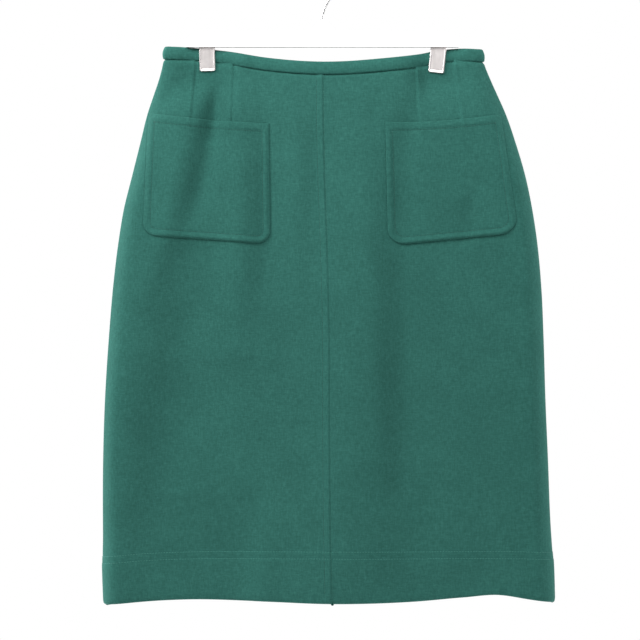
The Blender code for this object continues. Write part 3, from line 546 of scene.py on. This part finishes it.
def makePanel(panel, side):
    # rows: down to the first hem row, on to the hem, round it and up inside as the turned-up layer
    s = panelSettings
    width, length, hemDepth = s["columnSpan"], s["rowSpan"], s["hemDepth"]
    rolled = np.array(s["rolledEdge"])
    columns = gradedSteps(width, s["columnStep"], [(width - s["seamZone"], width)], s["seamStep"])
    columns = np.concatenate([columns, np.ones(len(rolled))])
    down = gradedSteps(length, s["rowStep"], [(0, 8 * mm), (length - 5 * mm, length)], s["rowFine"])
    hemPart = gradedSteps(hemDepth, s["rowStep"], [(0, 10 * mm), (hemDepth - 4 * mm, hemDepth)], s["rowFine"])
    wrap = np.linspace(0, math.pi, 8)[1:]
    up = np.linspace(0, 1, 16)[1:]
    rows = len(down) + len(hemPart) - 1 + len(wrap) + len(up)
    seamZ = np.full((1, rows), s["middleZ"])
    wrapRadius = cloth["thick"] + 0.2 * mm
    for _ in range(s["passes"]):
        across, turn = panelAcross(panel, side, columns, seamZ)
        top = smoothRead(edges, 1, across[:, :1]) - cloth["bandHeight"] + cloth["allowance"]
        row = smoothRead(edges, 2, across[:, :1])
        hem = ofPanel(edges, 3, panel, across[:, :1])
        if side == "left":
            hem = hem + s["cornerRise"] * np.sin(turn[:, :1]) ** 4
        z = np.concatenate([
            top + (row - top) * down[None, :],
            row + (hem + wrapRadius - row) * hemPart[None, 1:],
            hem + wrapRadius - wrapRadius * np.sin(wrap)[None, :],
            hem + wrapRadius + (row + s["hemOverlap"] - hem) * up[None, :],
        ], axis=1)
        seamZ = z[-1:, :]
    inside = np.concatenate([np.zeros(len(down) + len(hemPart) - 1), wrapRadius * (1 - np.cos(wrap)),
                             np.full(len(up), 2 * wrapRadius)])[None, :]
    outerRows = len(down) + len(hemPart) - 1
    middle, reach = sideFolds(z)
    coreX = middle + across * reach
    relief = panelRelief(panel, across, turn, coreX, z, row, top - cloth["allowance"], hem)
    if side == "left":
        relief -= s["edgeNotch"] * bell(row - z, 5 * mm) * np.sin(turn) ** 2
    fade = np.concatenate([np.ones(outerRows), np.linspace(1, 0, len(wrap)), np.zeros(len(up))])[None, :]
    rollIn = np.concatenate([np.zeros(len(across) - len(rolled)), rolled])[:, None]
    points = facePoints(panel, across, turn, z, relief * fade - inside + rollIn)
    flip = (panel == "front") == (side == "right")
    mesh = makeMesh(f"{panel}_{side}_cloth", points, flip=flip)
    name = f"{panel}{side.capitalize()}Cloth"
    piece = addPiece(name, mesh, woolCloth, [f"{panel}_{side}"])
    addWall(piece, cloth["thick"])
    return piece


for panel in ("front", "back"):
    for side in ("left", "right"):
        makePanel(panel, side)
print("panels made")

waistband = {
    "thick": 3.0 * mm, "proud": 0.5 * mm, "corner": 1.5 * mm, "swell": 1.7 * mm, "wobble": 0.25 * mm,
    "wholeColumns": 190, "backReach": 175 * mm, "backInset": 1.2 * mm, "backZ": -0.12, "pressedFlat": 0.8,
}


def bandProfile(count=6):
    # closed loop in (out, down): outer face, rounded lower edge, inner face, rounded top edge
    h, t, r = cloth["bandHeight"], waistband["thick"], waistband["corner"]
    quarter = np.linspace(0, math.pi / 2, count)
    corners = [(0, 0), (0, 1), (1, 1), (1, 0)]
    outs, downs = [], []
    for (deep, low), start in zip(corners, (math.pi / 2, 0, -math.pi / 2, math.pi)):
        angle = start - quarter
        outs.append((-t + r if deep else -r) + r * np.cos(angle))
        downs.append((h - r if low else r) - r * np.sin(angle))
    face = np.linspace(0, 1, 7)[1:-1]
    out = np.concatenate([outs[0], 0 * face, outs[1], outs[2], -t + 0 * face, outs[3]])
    straight = (h - 2 * r) * face
    down = np.concatenate([downs[0], r + straight, downs[1], downs[2], h - r - straight, downs[3]])
    swell = waistband["swell"] * np.sin(math.pi * np.clip(down / h, 0, 1)) * (out > -r)
    return out + swell, down


def makeBand(name, panel, side, node):
    # the profile carried along the top of the panels
    out, down = bandProfile()
    count = waistband["wholeColumns"] // (1 if side == "whole" else 2)
    folded = np.ones(len(sideTurns))
    if side == "whole":
        across = np.concatenate([-folded, np.linspace(-1, 1, count), folded])[:, None]
        turn = np.concatenate([sideTurns, np.zeros(count), sideTurns[::-1]])[:, None]
    else:
        sign = -1 if side == "left" else 1
        end = (sign * zipGap(np.array(waistband["backZ"])) - waistband["backInset"]) / waistband["backReach"]
        across = np.concatenate([sign * folded, sign + (end - sign) * np.linspace(0, 1, count)])[:, None]
        turn = np.concatenate([sideTurns, np.zeros(count)])[:, None]
    z = smoothRead(edges, 1, across) - down[None, :]
    wobble = waistband["wobble"] * np.sin(across * 41) * np.sin(across * 17 + 1)
    pressed = clipPinch(smoothRead(outline, 2, z) * across, z)
    flattened = waistband["swell"] * waistband["pressedFlat"] * pressed
    out = waistband["proud"] + out[None, :] + wobble * (1 - pressed) - flattened
    points = facePoints(panel, across + 0 * z, turn + 0 * z, z, out)
    flip = (panel == "front") == (side == "right")
    mesh = makeMesh(name, points, closeDown=True, flip=flip, caps=True)
    return addPiece(name, mesh, bandClothPaintedLight, [node])


bands = [
    makeBand("waistbandFrontCloth", "front", "whole", "waistband_front"),
    makeBand("waistbandBackLeftCloth", "back", "left", "waistband_back_left"),
    makeBand("waistbandBackRightCloth", "back", "right", "waistband_back_right"),
]
print("waistband made")

pockets = {
    "gap": 0.3 * mm, "inner": 1.3 * mm, "topBand": 0.85, "round": 1.6 * mm, "puff": 1.4 * mm,
    "crest": 4.2 * mm, "rowInset": 8.0 * mm, "groove": 0.2 * mm, "step": 1.9 * mm, "fineStep": 0.7 * mm,
    "mouthOpen": 0.6 * mm, "mouthDepth": 15 * mm, "soft": 0.5 * mm, "lowered": 0.4 * mm, "sideZone": 12 * mm,
    "left": {"topOuter": (-196, -174), "topInner": (-60, -186.2), "lowInner": (-58, -321.5),
             "lowOuter": (-202, -311.5), "sag": 2.0, "corner": 15, "sideEdges": (0.35, 0.75), "sideGroove": 1.2},
    "right": {"topOuter": (200.5, -175.8), "topInner": (70, -184.5), "lowInner": (73, -323.5),
              "lowOuter": (219.5, -309), "sag": 3.0, "corner": 19, "sideEdges": (0.45, 0.5), "sideGroove": 0},
}


def pocketFlat(side, u, v):
    # bilinear patch between four corners, its top edge sagging a little
    p = {key: np.array(value) * mm for key, value in pockets[side].items()}
    u, v = u[..., None], v[..., None]
    flat = (p["topOuter"] * (1 - u) * (1 - v) + p["topInner"] * u * (1 - v) + p["lowInner"] * u * v
            + p["lowOuter"] * (1 - u) * v)
    flat[..., 1] -= (p["sag"] * 4 * u * (1 - u) * (1 - v) ** 2)[..., 0]
    return flat[..., 0], flat[..., 1]


def pocketSize(side):
    # width along the top edge, height along the inner edge
    p = {key: np.array(value) * mm for key, value in pockets[side].items() if key != "sag"}
    return np.linalg.norm(p["topInner"] - p["topOuter"]), np.linalg.norm(p["topInner"] - p["lowInner"])


def fromPocketEdge(side, u, v):
    # distance to the outline: straight sides and top, lower corners as arcs
    width, height = pocketSize(side)
    r = pockets[side]["corner"] * mm
    sideways = np.abs(u - 0.5) * width - (width / 2 - r)
    downwards = v * height - (height - r)
    corner = r - np.hypot(np.maximum(sideways, 0), np.maximum(downwards, 0))
    straight = np.minimum(r - sideways, r - downwards)
    inner = np.where((sideways > 0) & (downwards > 0), corner, straight)
    return np.minimum(inner, v * height * pockets["topBand"])


def panelY(x, z, out):
    # the front's outer face at any place, moved out: the place across is found by repeated steps
    (middle, reach), radius = sideFolds(z), cloth["edgeRadius"]
    across = placeAcross(x, z)
    for _ in range(12):
        moved = radius * np.sin(lensTurn("front", across, middle + across * reach, z, reach))
        across = np.clip((x - middle - np.sign(across) * moved) / reach, -1, 1)
    sine = np.clip((np.abs(x - middle) - reach * np.abs(across)) / radius, 0, 0.97)
    turned = radius * (1 - np.sqrt(1 - sine ** 2))
    return turned - halfDepth("front", across, middle + across * reach, z) - dartRelief("front", x, z) * 0.5 - out


def pocketMouth(side, u, v):
    # how far the mouth stands open: most in the middle of the top edge
    return bell(v * pocketSize(side)[1], pockets["mouthDepth"]) * np.sin(math.pi * np.clip(u, 0, 1)) ** 0.5


def pocketOut(side, u, v, edge):
    # height of the pocket's face: a round edge, a puffed rim, a groove along the stitches and a soft middle
    p = pockets
    rolled = np.sqrt(np.clip(1 - (1 - np.minimum(edge / p["round"], 1)) ** 2, 0, 1))
    width = pocketSize(side)[0]
    outer, inner = bell(u * width, p["sideZone"]), bell((1 - u) * width, p["sideZone"])
    flatter = 1 - (1 - p[side]["sideEdges"][0]) * outer - (1 - p[side]["sideEdges"][1]) * inner
    puffed = p["puff"] * (1 - 0.75 * bell(v * pocketSize(side)[1], 10 * mm))
    crest = p["crest"] - 1.4 * mm * bell((1 - v) * pocketSize(side)[1], 14 * mm)
    out = p["inner"] - p["lowered"] + puffed * bell(edge - crest, 2.8 * mm)
    groove = p["groove"] * (1 + p[side]["sideGroove"] * outer) * bell(edge - p["rowInset"], 1.1 * mm)
    out = p["gap"] + p["lowered"] + rolled * out * flatter - groove
    middle = np.sin(math.pi * np.clip(u, 0, 1)) * np.sin(math.pi * np.clip(v, 0, 1))
    return out + p["mouthOpen"] * pocketMouth(side, u, v) + p["soft"] * middle


def makePocket(side):
    # upper and lower skins over one patch, denser along the rim
    width, height = pocketSize(side)
    r = pockets[side]["corner"] * mm
    zones = [(0, 2.5 * mm), (7 * mm, 9 * mm)]
    us, vs = [gradedSteps(size, pockets["step"], zones + [(size - b, size - a) for a, b in zones],
                          pockets["fineStep"]) for size in (width, height)]
    u, v = np.meshgrid(us, vs, indexing="ij")
    rise = np.clip(r - (1 - v) * height, 0, r)
    inset = (r - np.sqrt(r * r - rise * rise)) / width
    u = inset + (1 - 2 * inset) * u
    edge = np.maximum(fromPocketEdge(side, u, v), 0)
    x, z = pocketFlat(side, u, v)
    outer = np.stack([x, panelY(x, z, pocketOut(side, u, v, edge)), z], axis=-1)
    inner = np.stack([x, panelY(x, z, pockets["gap"] + pockets["mouthOpen"] * pocketMouth(side, u, v)), z], axis=-1)
    points = np.concatenate([outer, inner[:, ::-1]], axis=1)
    mesh = makeMesh(f"pocket_{side}_cloth", points, closeDown=True, flip=side == "left", caps=True)
    return addPiece(f"pocket{side.capitalize()}Cloth", mesh, woolCloth, [f"pocket_{side}"])


pocketPieces = {side: makePocket(side) for side in ("left", "right")}
print("pockets made")

stitch = {"pitch": 3.1 * mm, "length": 2.6 * mm, "radius": 0.27 * mm, "sides": 5}


def evenSteps(path, pitch):
    # places along a path at equal distances, with the direction of travel
    gaps = np.linalg.norm(np.diff(path, axis=0), axis=1)
    travelled = np.concatenate([[0], np.cumsum(gaps)])
    at = np.arange(pitch / 2, travelled[-1], pitch)
    places = np.stack([np.interp(at, travelled, path[:, k]) for k in range(3)], axis=-1)
    ahead = np.stack([np.interp(at + 0.3 * mm, travelled, path[:, k]) for k in range(3)], axis=-1)
    along = ahead - places
    length = np.linalg.norm(along, axis=1, keepdims=True)
    good = length[:, 0] > 1e-7
    return places[good], along[good] / length[good]


def stitchRows(name, paths, outward, thread=threadPaintedHighlight):
    # each stitch is a short thread, thin at both ends where it goes into the cloth
    parts = [evenSteps(path, stitch["pitch"]) for path in paths]
    places = np.concatenate([p for p, _ in parts])
    along = np.concatenate([a for _, a in parts])
    out = np.broadcast_to(np.array(outward, float), along.shape)
    side = np.cross(along, out)
    side /= np.linalg.norm(side, axis=1, keepdims=True)
    out = np.cross(side, along)
    t = np.array([-0.5, -0.36, 0, 0.36, 0.5])
    thin = np.array([0.35, 0.95, 1.0, 0.95, 0.35]) * stitch["radius"]
    lift = np.array([-0.35, 0.05, 0.2, 0.05, -0.35]) * mm
    angle = np.arange(stitch["sides"]) * 2 * math.pi / stitch["sides"]
    ring = (places[:, None, None] + along[:, None, None] * (t * stitch["length"])[None, :, None, None]
            + out[:, None, None] * (lift[None, :, None, None] + (thin[:, None] * np.cos(angle))[None, :, :, None])
            + side[:, None, None] * (thin[:, None] * np.sin(angle))[None, :, :, None])
    n, rings, sides = ring.shape[:3]
    index = np.arange(n * rings * sides).reshape(n, rings, sides)
    after = np.roll(index, -1, axis=2)
    quads = np.stack([index[:, :-1], index[:, 1:], after[:, 1:], after[:, :-1]], axis=-1).reshape(-1, 4)
    ends = np.concatenate([index[:, 0], index[:, -1, ::-1]])
    mesh = bpy.data.meshes.new(name)
    mesh.from_pydata(ring.reshape(-1, 3).tolist(), [], quads.tolist() + ends.tolist())
    mesh.shade_smooth()
    addPiece(name, mesh, thread)


def panelRowPath(panel, side, below):
    # along a hem row from the side seam to the centre seam; round heights for the waist seam and the hem will do
    columns = np.linspace(0, 1, 160)
    across, turn = panelAcross(panel, side, columns, np.array([[-0.67]]))
    row = smoothRead(edges, 2, across)
    middle, reach = sideFolds(row)
    coreX = middle + across * reach
    relief = panelRelief(panel, across, turn, coreX, row - below, row, -0.13, -0.72)
    return facePoints(panel, across, turn, row - below, relief)[:, 0]


def bedOf(panel):
    # the way a panel's stitches face
    return (0, -1, 0) if panel == "front" else (0, 1, 0)


# the hem rows take the lighter thread, painted highlight along each row
for panel in ("front", "back"):
    paths = [panelRowPath(panel, side, below + 0.2 * mm) for side in ("left", "right")
             for below in (0, cloth["rowSpacing"])]
    stitchRows(f"{panel}HemStitches", paths, bedOf(panel))


def panelDownPath(panel, fromSeam, top, bottom):
    # down a panel beside its centre seam, again with round heights
    z = np.linspace(top, bottom, 300)
    x = ofPanel(seams, 1, panel, z) + fromSeam
    across = placeAcross(x, z)
    return facePoints(panel, across, 0 * z, z, panelRelief(panel, across, 0 * z, x, z, -0.666, -0.131, -0.72))


rowEnds = {"top": -0.134, "frontEnd": -0.712, "zipEnd": -0.312}
frontRow = panelDownPath("front", -sewn["flangeRow"], rowEnds["top"], rowEnds["frontEnd"])
# the front seam's row takes the darker thread, painted shade in its groove
stitchRows("frontSeamStitches", [frontRow], bedOf("front"), threadPaintedShade)
zipRows = [panelDownPath("back", away, rowEnds["top"], rowEnds["zipEnd"])
           for away in (-sewn["zipRow"], sewn["zipRow"])]
zipRows.append(np.linspace(zipRows[0][-1], zipRows[1][-1], 30))
stitchRows("zipStitches", zipRows, bedOf("back"))


def pocketStitchPath(side):
    # a loop inside the pocket's edge, at one distance from it all round
    width, height = pocketSize(side)
    inset, r = pockets["rowInset"], pockets[side]["corner"] * mm - pockets["rowInset"]
    quarter = np.linspace(0, math.pi / 2, 8)
    loopP = np.concatenate([[inset, width - inset], width - inset - r + r * np.cos(quarter),
                            inset + r - r * np.sin(quarter), [inset]])
    loopQ = np.concatenate([[inset / pockets["topBand"]] * 2, height - inset - r + r * np.sin(quarter),
                            height - inset - r + r * np.cos(quarter), [inset / pockets["topBand"]]])
    gaps = np.hypot(np.diff(loopP), np.diff(loopQ))
    travelled = np.concatenate([[0], np.cumsum(gaps)])
    at = np.linspace(0, travelled[-1], 400)
    u, v = np.interp(at, travelled, loopP) / width, np.interp(at, travelled, loopQ) / height
    x, z = pocketFlat(side, u, v)
    return np.stack([x, panelY(x, z, pocketOut(side, u, v, pockets["rowInset"])), z], axis=-1)


# the pocket rows take the darker thread, painted shade in the groove along them
for side in ("left", "right"):
    stitchRows(f"pocket{side.capitalize()}Stitches", [pocketStitchPath(side)], (0, -1, 0), threadPaintedShade)
print("stitching made")

zipParts = {
    "length": 190 * mm, "tapeHalf": 12 * mm, "tapeThick": 0.8 * mm, "tapeClearance": 0.45 * mm,
    "stepLow": 19 * mm, "stepHeight": 4 * mm, "toothPitch": 2.0 * mm, "toothHalf": (1.5, 0.4, 0.42),
    "teethTop": 17 * mm, "teethEnd": 6 * mm, "toothAside": 0.7 * mm, "toothProud": 0.25 * mm, "toothRound": 0.15 * mm,
}


def zipDepth(x, z):
    # outer face of the tape: behind the panels, further in behind the waistband
    inBand = np.clip((z - (waistTop - zipParts["stepLow"])) / zipParts["stepHeight"], 0, 1)
    bandExtra = waistband["thick"] - waistband["proud"] - cloth["thick"]
    inside = cloth["thick"] + zipParts["tapeClearance"] + inBand * bandExtra
    return halfDepth("back", placeAcross(x, z), x, z) - inside


def makeTape():
    # a flat grid laid behind the back's opening, given its thickness
    x = np.linspace(-zipParts["tapeHalf"], zipParts["tapeHalf"], 25)[:, None]
    z = np.linspace(waistTop - 0.5 * mm, waistTop - zipParts["length"], 120)[None, :] + 0 * x
    points = np.stack([x + 0 * z, zipDepth(x, z), z], axis=-1)
    mesh = makeMesh("zip_tape_woven", points, flip=True)
    piece = addPiece("zipTapeWoven", mesh, zipTape, ["zip_tape"])
    addWall(piece, zipParts["tapeThick"])
    return piece


def makeTeeth():
    # two rows of small blocks that mesh down the middle of the tape
    start, end = waistTop - zipParts["teethTop"], waistTop - zipParts["length"] + zipParts["teethEnd"]
    z = np.arange(start, end, -zipParts["toothPitch"])
    corners = np.array([(-1, -1, -1), (1, -1, -1), (1, 1, -1), (-1, 1, -1),
                        (-1, -1, 1), (1, -1, 1), (1, 1, 1), (-1, 1, 1)]) * zipParts["toothHalf"] * mm
    faces = np.array([(0, 3, 2, 1), (4, 5, 6, 7), (0, 1, 5, 4), (1, 2, 6, 5), (2, 3, 7, 6), (3, 0, 4, 7)])
    rows = []
    for sign in (-1, 1):
        at = z + (0.5 * zipParts["toothPitch"] if sign > 0 else 0)
        outward = zipDepth(0 * at, at) + zipParts["toothProud"]
        middle = np.stack([sign * zipParts["toothAside"] + 0 * at, outward, at], axis=-1)
        rows.append(middle[:, None] + corners[None])
    blocks = np.concatenate(rows)
    quads = (faces[None] + 8 * np.arange(len(blocks))[:, None, None]).reshape(-1, 4)
    mesh = bpy.data.meshes.new("zip_teeth")
    mesh.from_pydata(blocks.reshape(-1, 3).tolist(), [], quads.tolist())
    piece = addPiece("zipTeeth", mesh, zipEnamel)
    soften = piece.modifiers.new("rounded teeth", "BEVEL")
    soften.width = zipParts["toothRound"]
    soften.segments = 2
    return piece


tape = makeTape()
teeth = makeTeeth()
print("zip made")

hook = {"wire": 1.5 * mm, "inner": 22 * mm, "bend": 34 * mm, "tip": math.radians(196), "stem": 17 * mm}


def tubeAlong(path, radius, sides=16):
    # a round section carried along a path in the XZ plane
    ahead = np.gradient(path, axis=0)
    ahead /= np.linalg.norm(ahead, axis=1, keepdims=True)
    out = np.stack([-ahead[:, 2], 0 * ahead[:, 0], ahead[:, 0]], axis=-1)
    angle = np.arange(sides) * 2 * math.pi / sides
    return (path[:, None] + out[:, None] * (radius[:, None] * np.cos(angle))[..., None]
            + np.array([0, 1.0, 0]) * (radius[:, None] * np.sin(angle))[..., None])


def makeHook():
    # a stem, one bend to the right and a round loop, as arcs that meet smoothly; the tip is domed
    loop, loopZ = hook["inner"] + hook["wire"], -hook["inner"]
    reach = loop + hook["bend"]
    bendZ = loopZ - math.sqrt(reach ** 2 - hook["bend"] ** 2)
    meet = math.atan2(bendZ - loopZ, hook["bend"])
    stem = np.stack([np.zeros(6), np.linspace(bendZ - hook["stem"], bendZ, 6)], axis=-1)
    a = np.linspace(math.pi, math.pi + meet, 24)[1:]
    bend = np.stack([hook["bend"] * (1 + np.cos(a)), bendZ + hook["bend"] * np.sin(a)], axis=-1)
    b = np.linspace(meet, hook["tip"], 90)[1:]
    around = np.stack([loop * np.cos(b), loopZ + loop * np.sin(b)], axis=-1)
    flat = np.concatenate([stem, bend, around])
    path = np.stack([flat[:, 0], 0 * flat[:, 0], flat[:, 1]], axis=-1)
    dome = np.sin(np.linspace(0, math.pi / 2, 7))[::-1]
    ahead = (path[-1] - path[-2]) / np.linalg.norm(path[-1] - path[-2])
    further = hook["wire"] * (1 - np.cos(np.linspace(0, math.pi / 2, 7)))[1:, None] * 0.6
    path = np.concatenate([path, path[-1] + ahead * further])
    radius = np.full(len(path), hook["wire"])
    radius[-7:] = hook["wire"] * np.maximum(dome, 0.02)
    mesh = makeMesh("hook_wire", tubeAlong(path, radius), closeDown=True, flip=True, caps=True)
    addPiece("hookWire", mesh, brightWire, ["hook"])


makeHook()

clips = {
    "left": {"x": -130 * mm, "pinZ": -94.4 * mm, "lean": math.radians(-1.8)},
    "right": {"x": 131 * mm, "pinZ": -96.2 * mm, "lean": math.radians(6.3)},
    "width": 17.6 * mm, "top": 2.6 * mm, "bottom": 33 * mm, "face": 3.8 * mm, "thick": 1.2 * mm,
    "rim": 0.35 * mm, "groove": 0.25 * mm, "grooveAbove": 2.8 * mm, "corner": 1.6 * mm,
    "sideZone": 2.4 * mm, "lipZone": 5 * mm, "cornerCut": 0.4,
}


def mergedCopy(node, name, material, bevel=0.0):
    # the node's own shape with its triangles joined, so that it can be shaded smooth
    source = bpy.data.objects[node]
    mesh = source.data.copy()
    mesh.materials.clear()
    piece = addPiece(name, mesh, material, [node])
    weld = piece.modifiers.new("joined triangles", "WELD")
    weld.merge_threshold = 0.00001
    if bevel:
        soften = piece.modifiers.new("rounded edges", "BEVEL")
        soften.width = bevel
        soften.segments = 3
        soften.limit_method = "ANGLE"
        soften.angle_limit = math.radians(40)


mergedCopy("hanger_bar", "hangerMoulded", whitePlastic, 0.8 * mm)


def makeJaw(side, facing):
    # a pressed plate: a raised rim, a shallow groove above the lower lip and slightly dished in the middle
    clip = clips[side]
    half = clips["width"] / 2
    rimX, lip = half - clips["sideZone"], -clips["bottom"] + clips["lipZone"]
    xs = np.concatenate([np.linspace(-half, -rimX, 12), np.linspace(-rimX, rimX, 12)[1:-1],
                         np.linspace(rimX, half, 12)])
    zs = np.concatenate([np.linspace(clips["top"], lip, 36), np.linspace(lip, -clips["bottom"], 26)[1:]])
    x, z = np.meshgrid(xs, zs, indexing="ij")
    toSide, toEnd = half - np.abs(x), z + clips["bottom"]
    edge = np.minimum(toSide, np.minimum(toEnd, clips["top"] - z))
    out = clips["thick"] + clips["rim"] * bell(edge - 1.0 * mm, 0.6 * mm)
    out -= clips["groove"] * bell(toEnd - clips["grooveAbove"], 0.45 * mm) * (toSide > clips["corner"])
    out -= clips["thick"] * 0.5 * (1 - np.minimum(edge / (0.5 * mm), 1)) ** 2
    corner = clips["corner"]
    cut = np.maximum(corner - toSide, 0) * np.maximum(corner - toEnd, 0) / corner * clips["cornerCut"]
    x, z = x - np.sign(x) * cut, z + cut
    front = np.stack([x, facing * (clips["face"] + out), z], axis=-1)
    back = np.stack([x, np.full_like(x, facing * clips["face"]), z], axis=-1)
    points = np.concatenate([front, back[:, ::-1]], axis=1)
    c, s = math.cos(clip["lean"]), math.sin(clip["lean"])
    turned = np.stack([points[..., 0] * c + points[..., 2] * s + clip["x"], points[..., 1],
                       -points[..., 0] * s + points[..., 2] * c + clip["pinZ"]], axis=-1)
    name = f"clip{side.capitalize()}{'Front' if facing < 0 else 'Back'}Plate"
    node = f"clip_{side}_{'front' if facing < 0 else 'back'}"
    mesh = makeMesh(name, turned, closeDown=True, flip=facing < 0, caps=True)
    addPiece(name, mesh, satinSteel, [node])


for side in ("left", "right"):
    for facing in (-1, 1):
        makeJaw(side, facing)
    mergedCopy(f"clip_{side}_pin", f"clip{side.capitalize()}Pin", satinSteel)
    mergedCopy(f"clip_{side}_spring", f"clip{side.capitalize()}Spring", satinSteel)

for node in ("zip_slider", "zip_pull"):
    part = bpy.data.objects[node]
    part.data.materials.clear()
    part.data.materials.append(zipEnamel)
print("hook, hanger and clips made")

studio = {
    "floorZ": -1.25, "floorRadius": 2.4, "floorSides": 96, "skyFill": 0.38, "aim": (0, 0, -0.42),
    "pixelsPerMetre": 890, "pictureWidth": 640, "distance": 5.0, "sensor": 36, "cameraX": -0.0028, "cameraZ": -0.4066,
}

# each light's place, width and power
lights = {
    "key": ((-1.5, -0.9, 0.85), 0.85, 50), "top": ((0.12, -0.75, 0.65), 0.8, 13.5),
    "leftRim": ((-2.2, 0.8, 0.5), 1.0, 90), "rightRim": ((2.2, 0.3, 0.2), 1.0, 48),
}


def makeFloor():
    # a pale round floor, well below the hem
    mesh = bpy.data.meshes.new("paleFloor")
    sides, radius = studio["floorSides"], studio["floorRadius"]
    angle = np.linspace(0, 2 * math.pi, sides + 1)[:-1]
    ring = np.stack([radius * np.cos(angle), radius * np.sin(angle), np.full(sides, studio["floorZ"])], axis=-1)
    mesh.from_pydata(ring.tolist(), [], [list(range(sides))])
    floor = bpy.data.objects.new("paleFloor", mesh)
    bpy.context.scene.collection.objects.link(floor)
    material, tree, shader, source = nodeMaterial("paleFloorPaint")
    patches = addNoise(tree, source, 3, 3)
    setColour(tree, shader, patches, [(0.3, (0.84, 0.84, 0.84)), (0.7, (0.88, 0.88, 0.88))])
    shader.inputs["Roughness"].default_value = 0.8
    mesh.materials.append(material)


def softLight(name, place, size, power):
    # a round soft light that faces the middle of the skirt and isn't seen itself
    data = bpy.data.lights.new(name, "AREA")
    data.shape = "DISK"
    data.size = size
    data.energy = power
    light = bpy.data.objects.new(name, data)
    bpy.context.scene.collection.objects.link(light)
    light.location = place
    light.rotation_euler = (Vector(studio["aim"]) - Vector(place)).to_track_quat("-Z", "Y").to_euler()
    light.visible_camera = False


def makeWorld():
    # white to the eye, a softer fill for everything else
    world = bpy.data.worlds.new("studio")
    bpy.context.scene.world = world
    world.use_nodes = True
    tree = world.node_tree
    seen, fill = tree.nodes["Background"], tree.nodes.new("ShaderNodeBackground")
    seen.inputs["Color"].default_value = (1, 1, 1, 1)
    seen.inputs["Strength"].default_value = 1.0
    fill.inputs["Color"].default_value = (1, 1, 1, 1)
    fill.inputs["Strength"].default_value = studio["skyFill"]
    path, mix = tree.nodes.new("ShaderNodeLightPath"), tree.nodes.new("ShaderNodeMixShader")
    tree.links.new(path.outputs["Is Camera Ray"], mix.inputs["Fac"])
    tree.links.new(fill.outputs["Background"], mix.inputs[1])
    tree.links.new(seen.outputs["Background"], mix.inputs[2])
    tree.links.new(mix.outputs["Shader"], tree.nodes["World Output"].inputs["Surface"])


def makeCamera():
    # square on to the front, at the middle of the picture
    data = bpy.data.cameras.new("camera")
    data.sensor_width = studio["sensor"]
    data.lens = studio["sensor"] * studio["distance"] * studio["pixelsPerMetre"] / studio["pictureWidth"]
    camera = bpy.data.objects.new("camera", data)
    bpy.context.scene.collection.objects.link(camera)
    camera.location = (studio["cameraX"], -studio["distance"], studio["cameraZ"])
    camera.rotation_euler = (math.pi / 2, 0, 0)
    bpy.context.scene.camera = camera


makeFloor()
makeWorld()
for name, (place, size, power) in lights.items():
    softLight(name, place, size, power)
makeCamera()
bpy.context.scene.view_settings.view_transform = "Standard"
print("studio made")
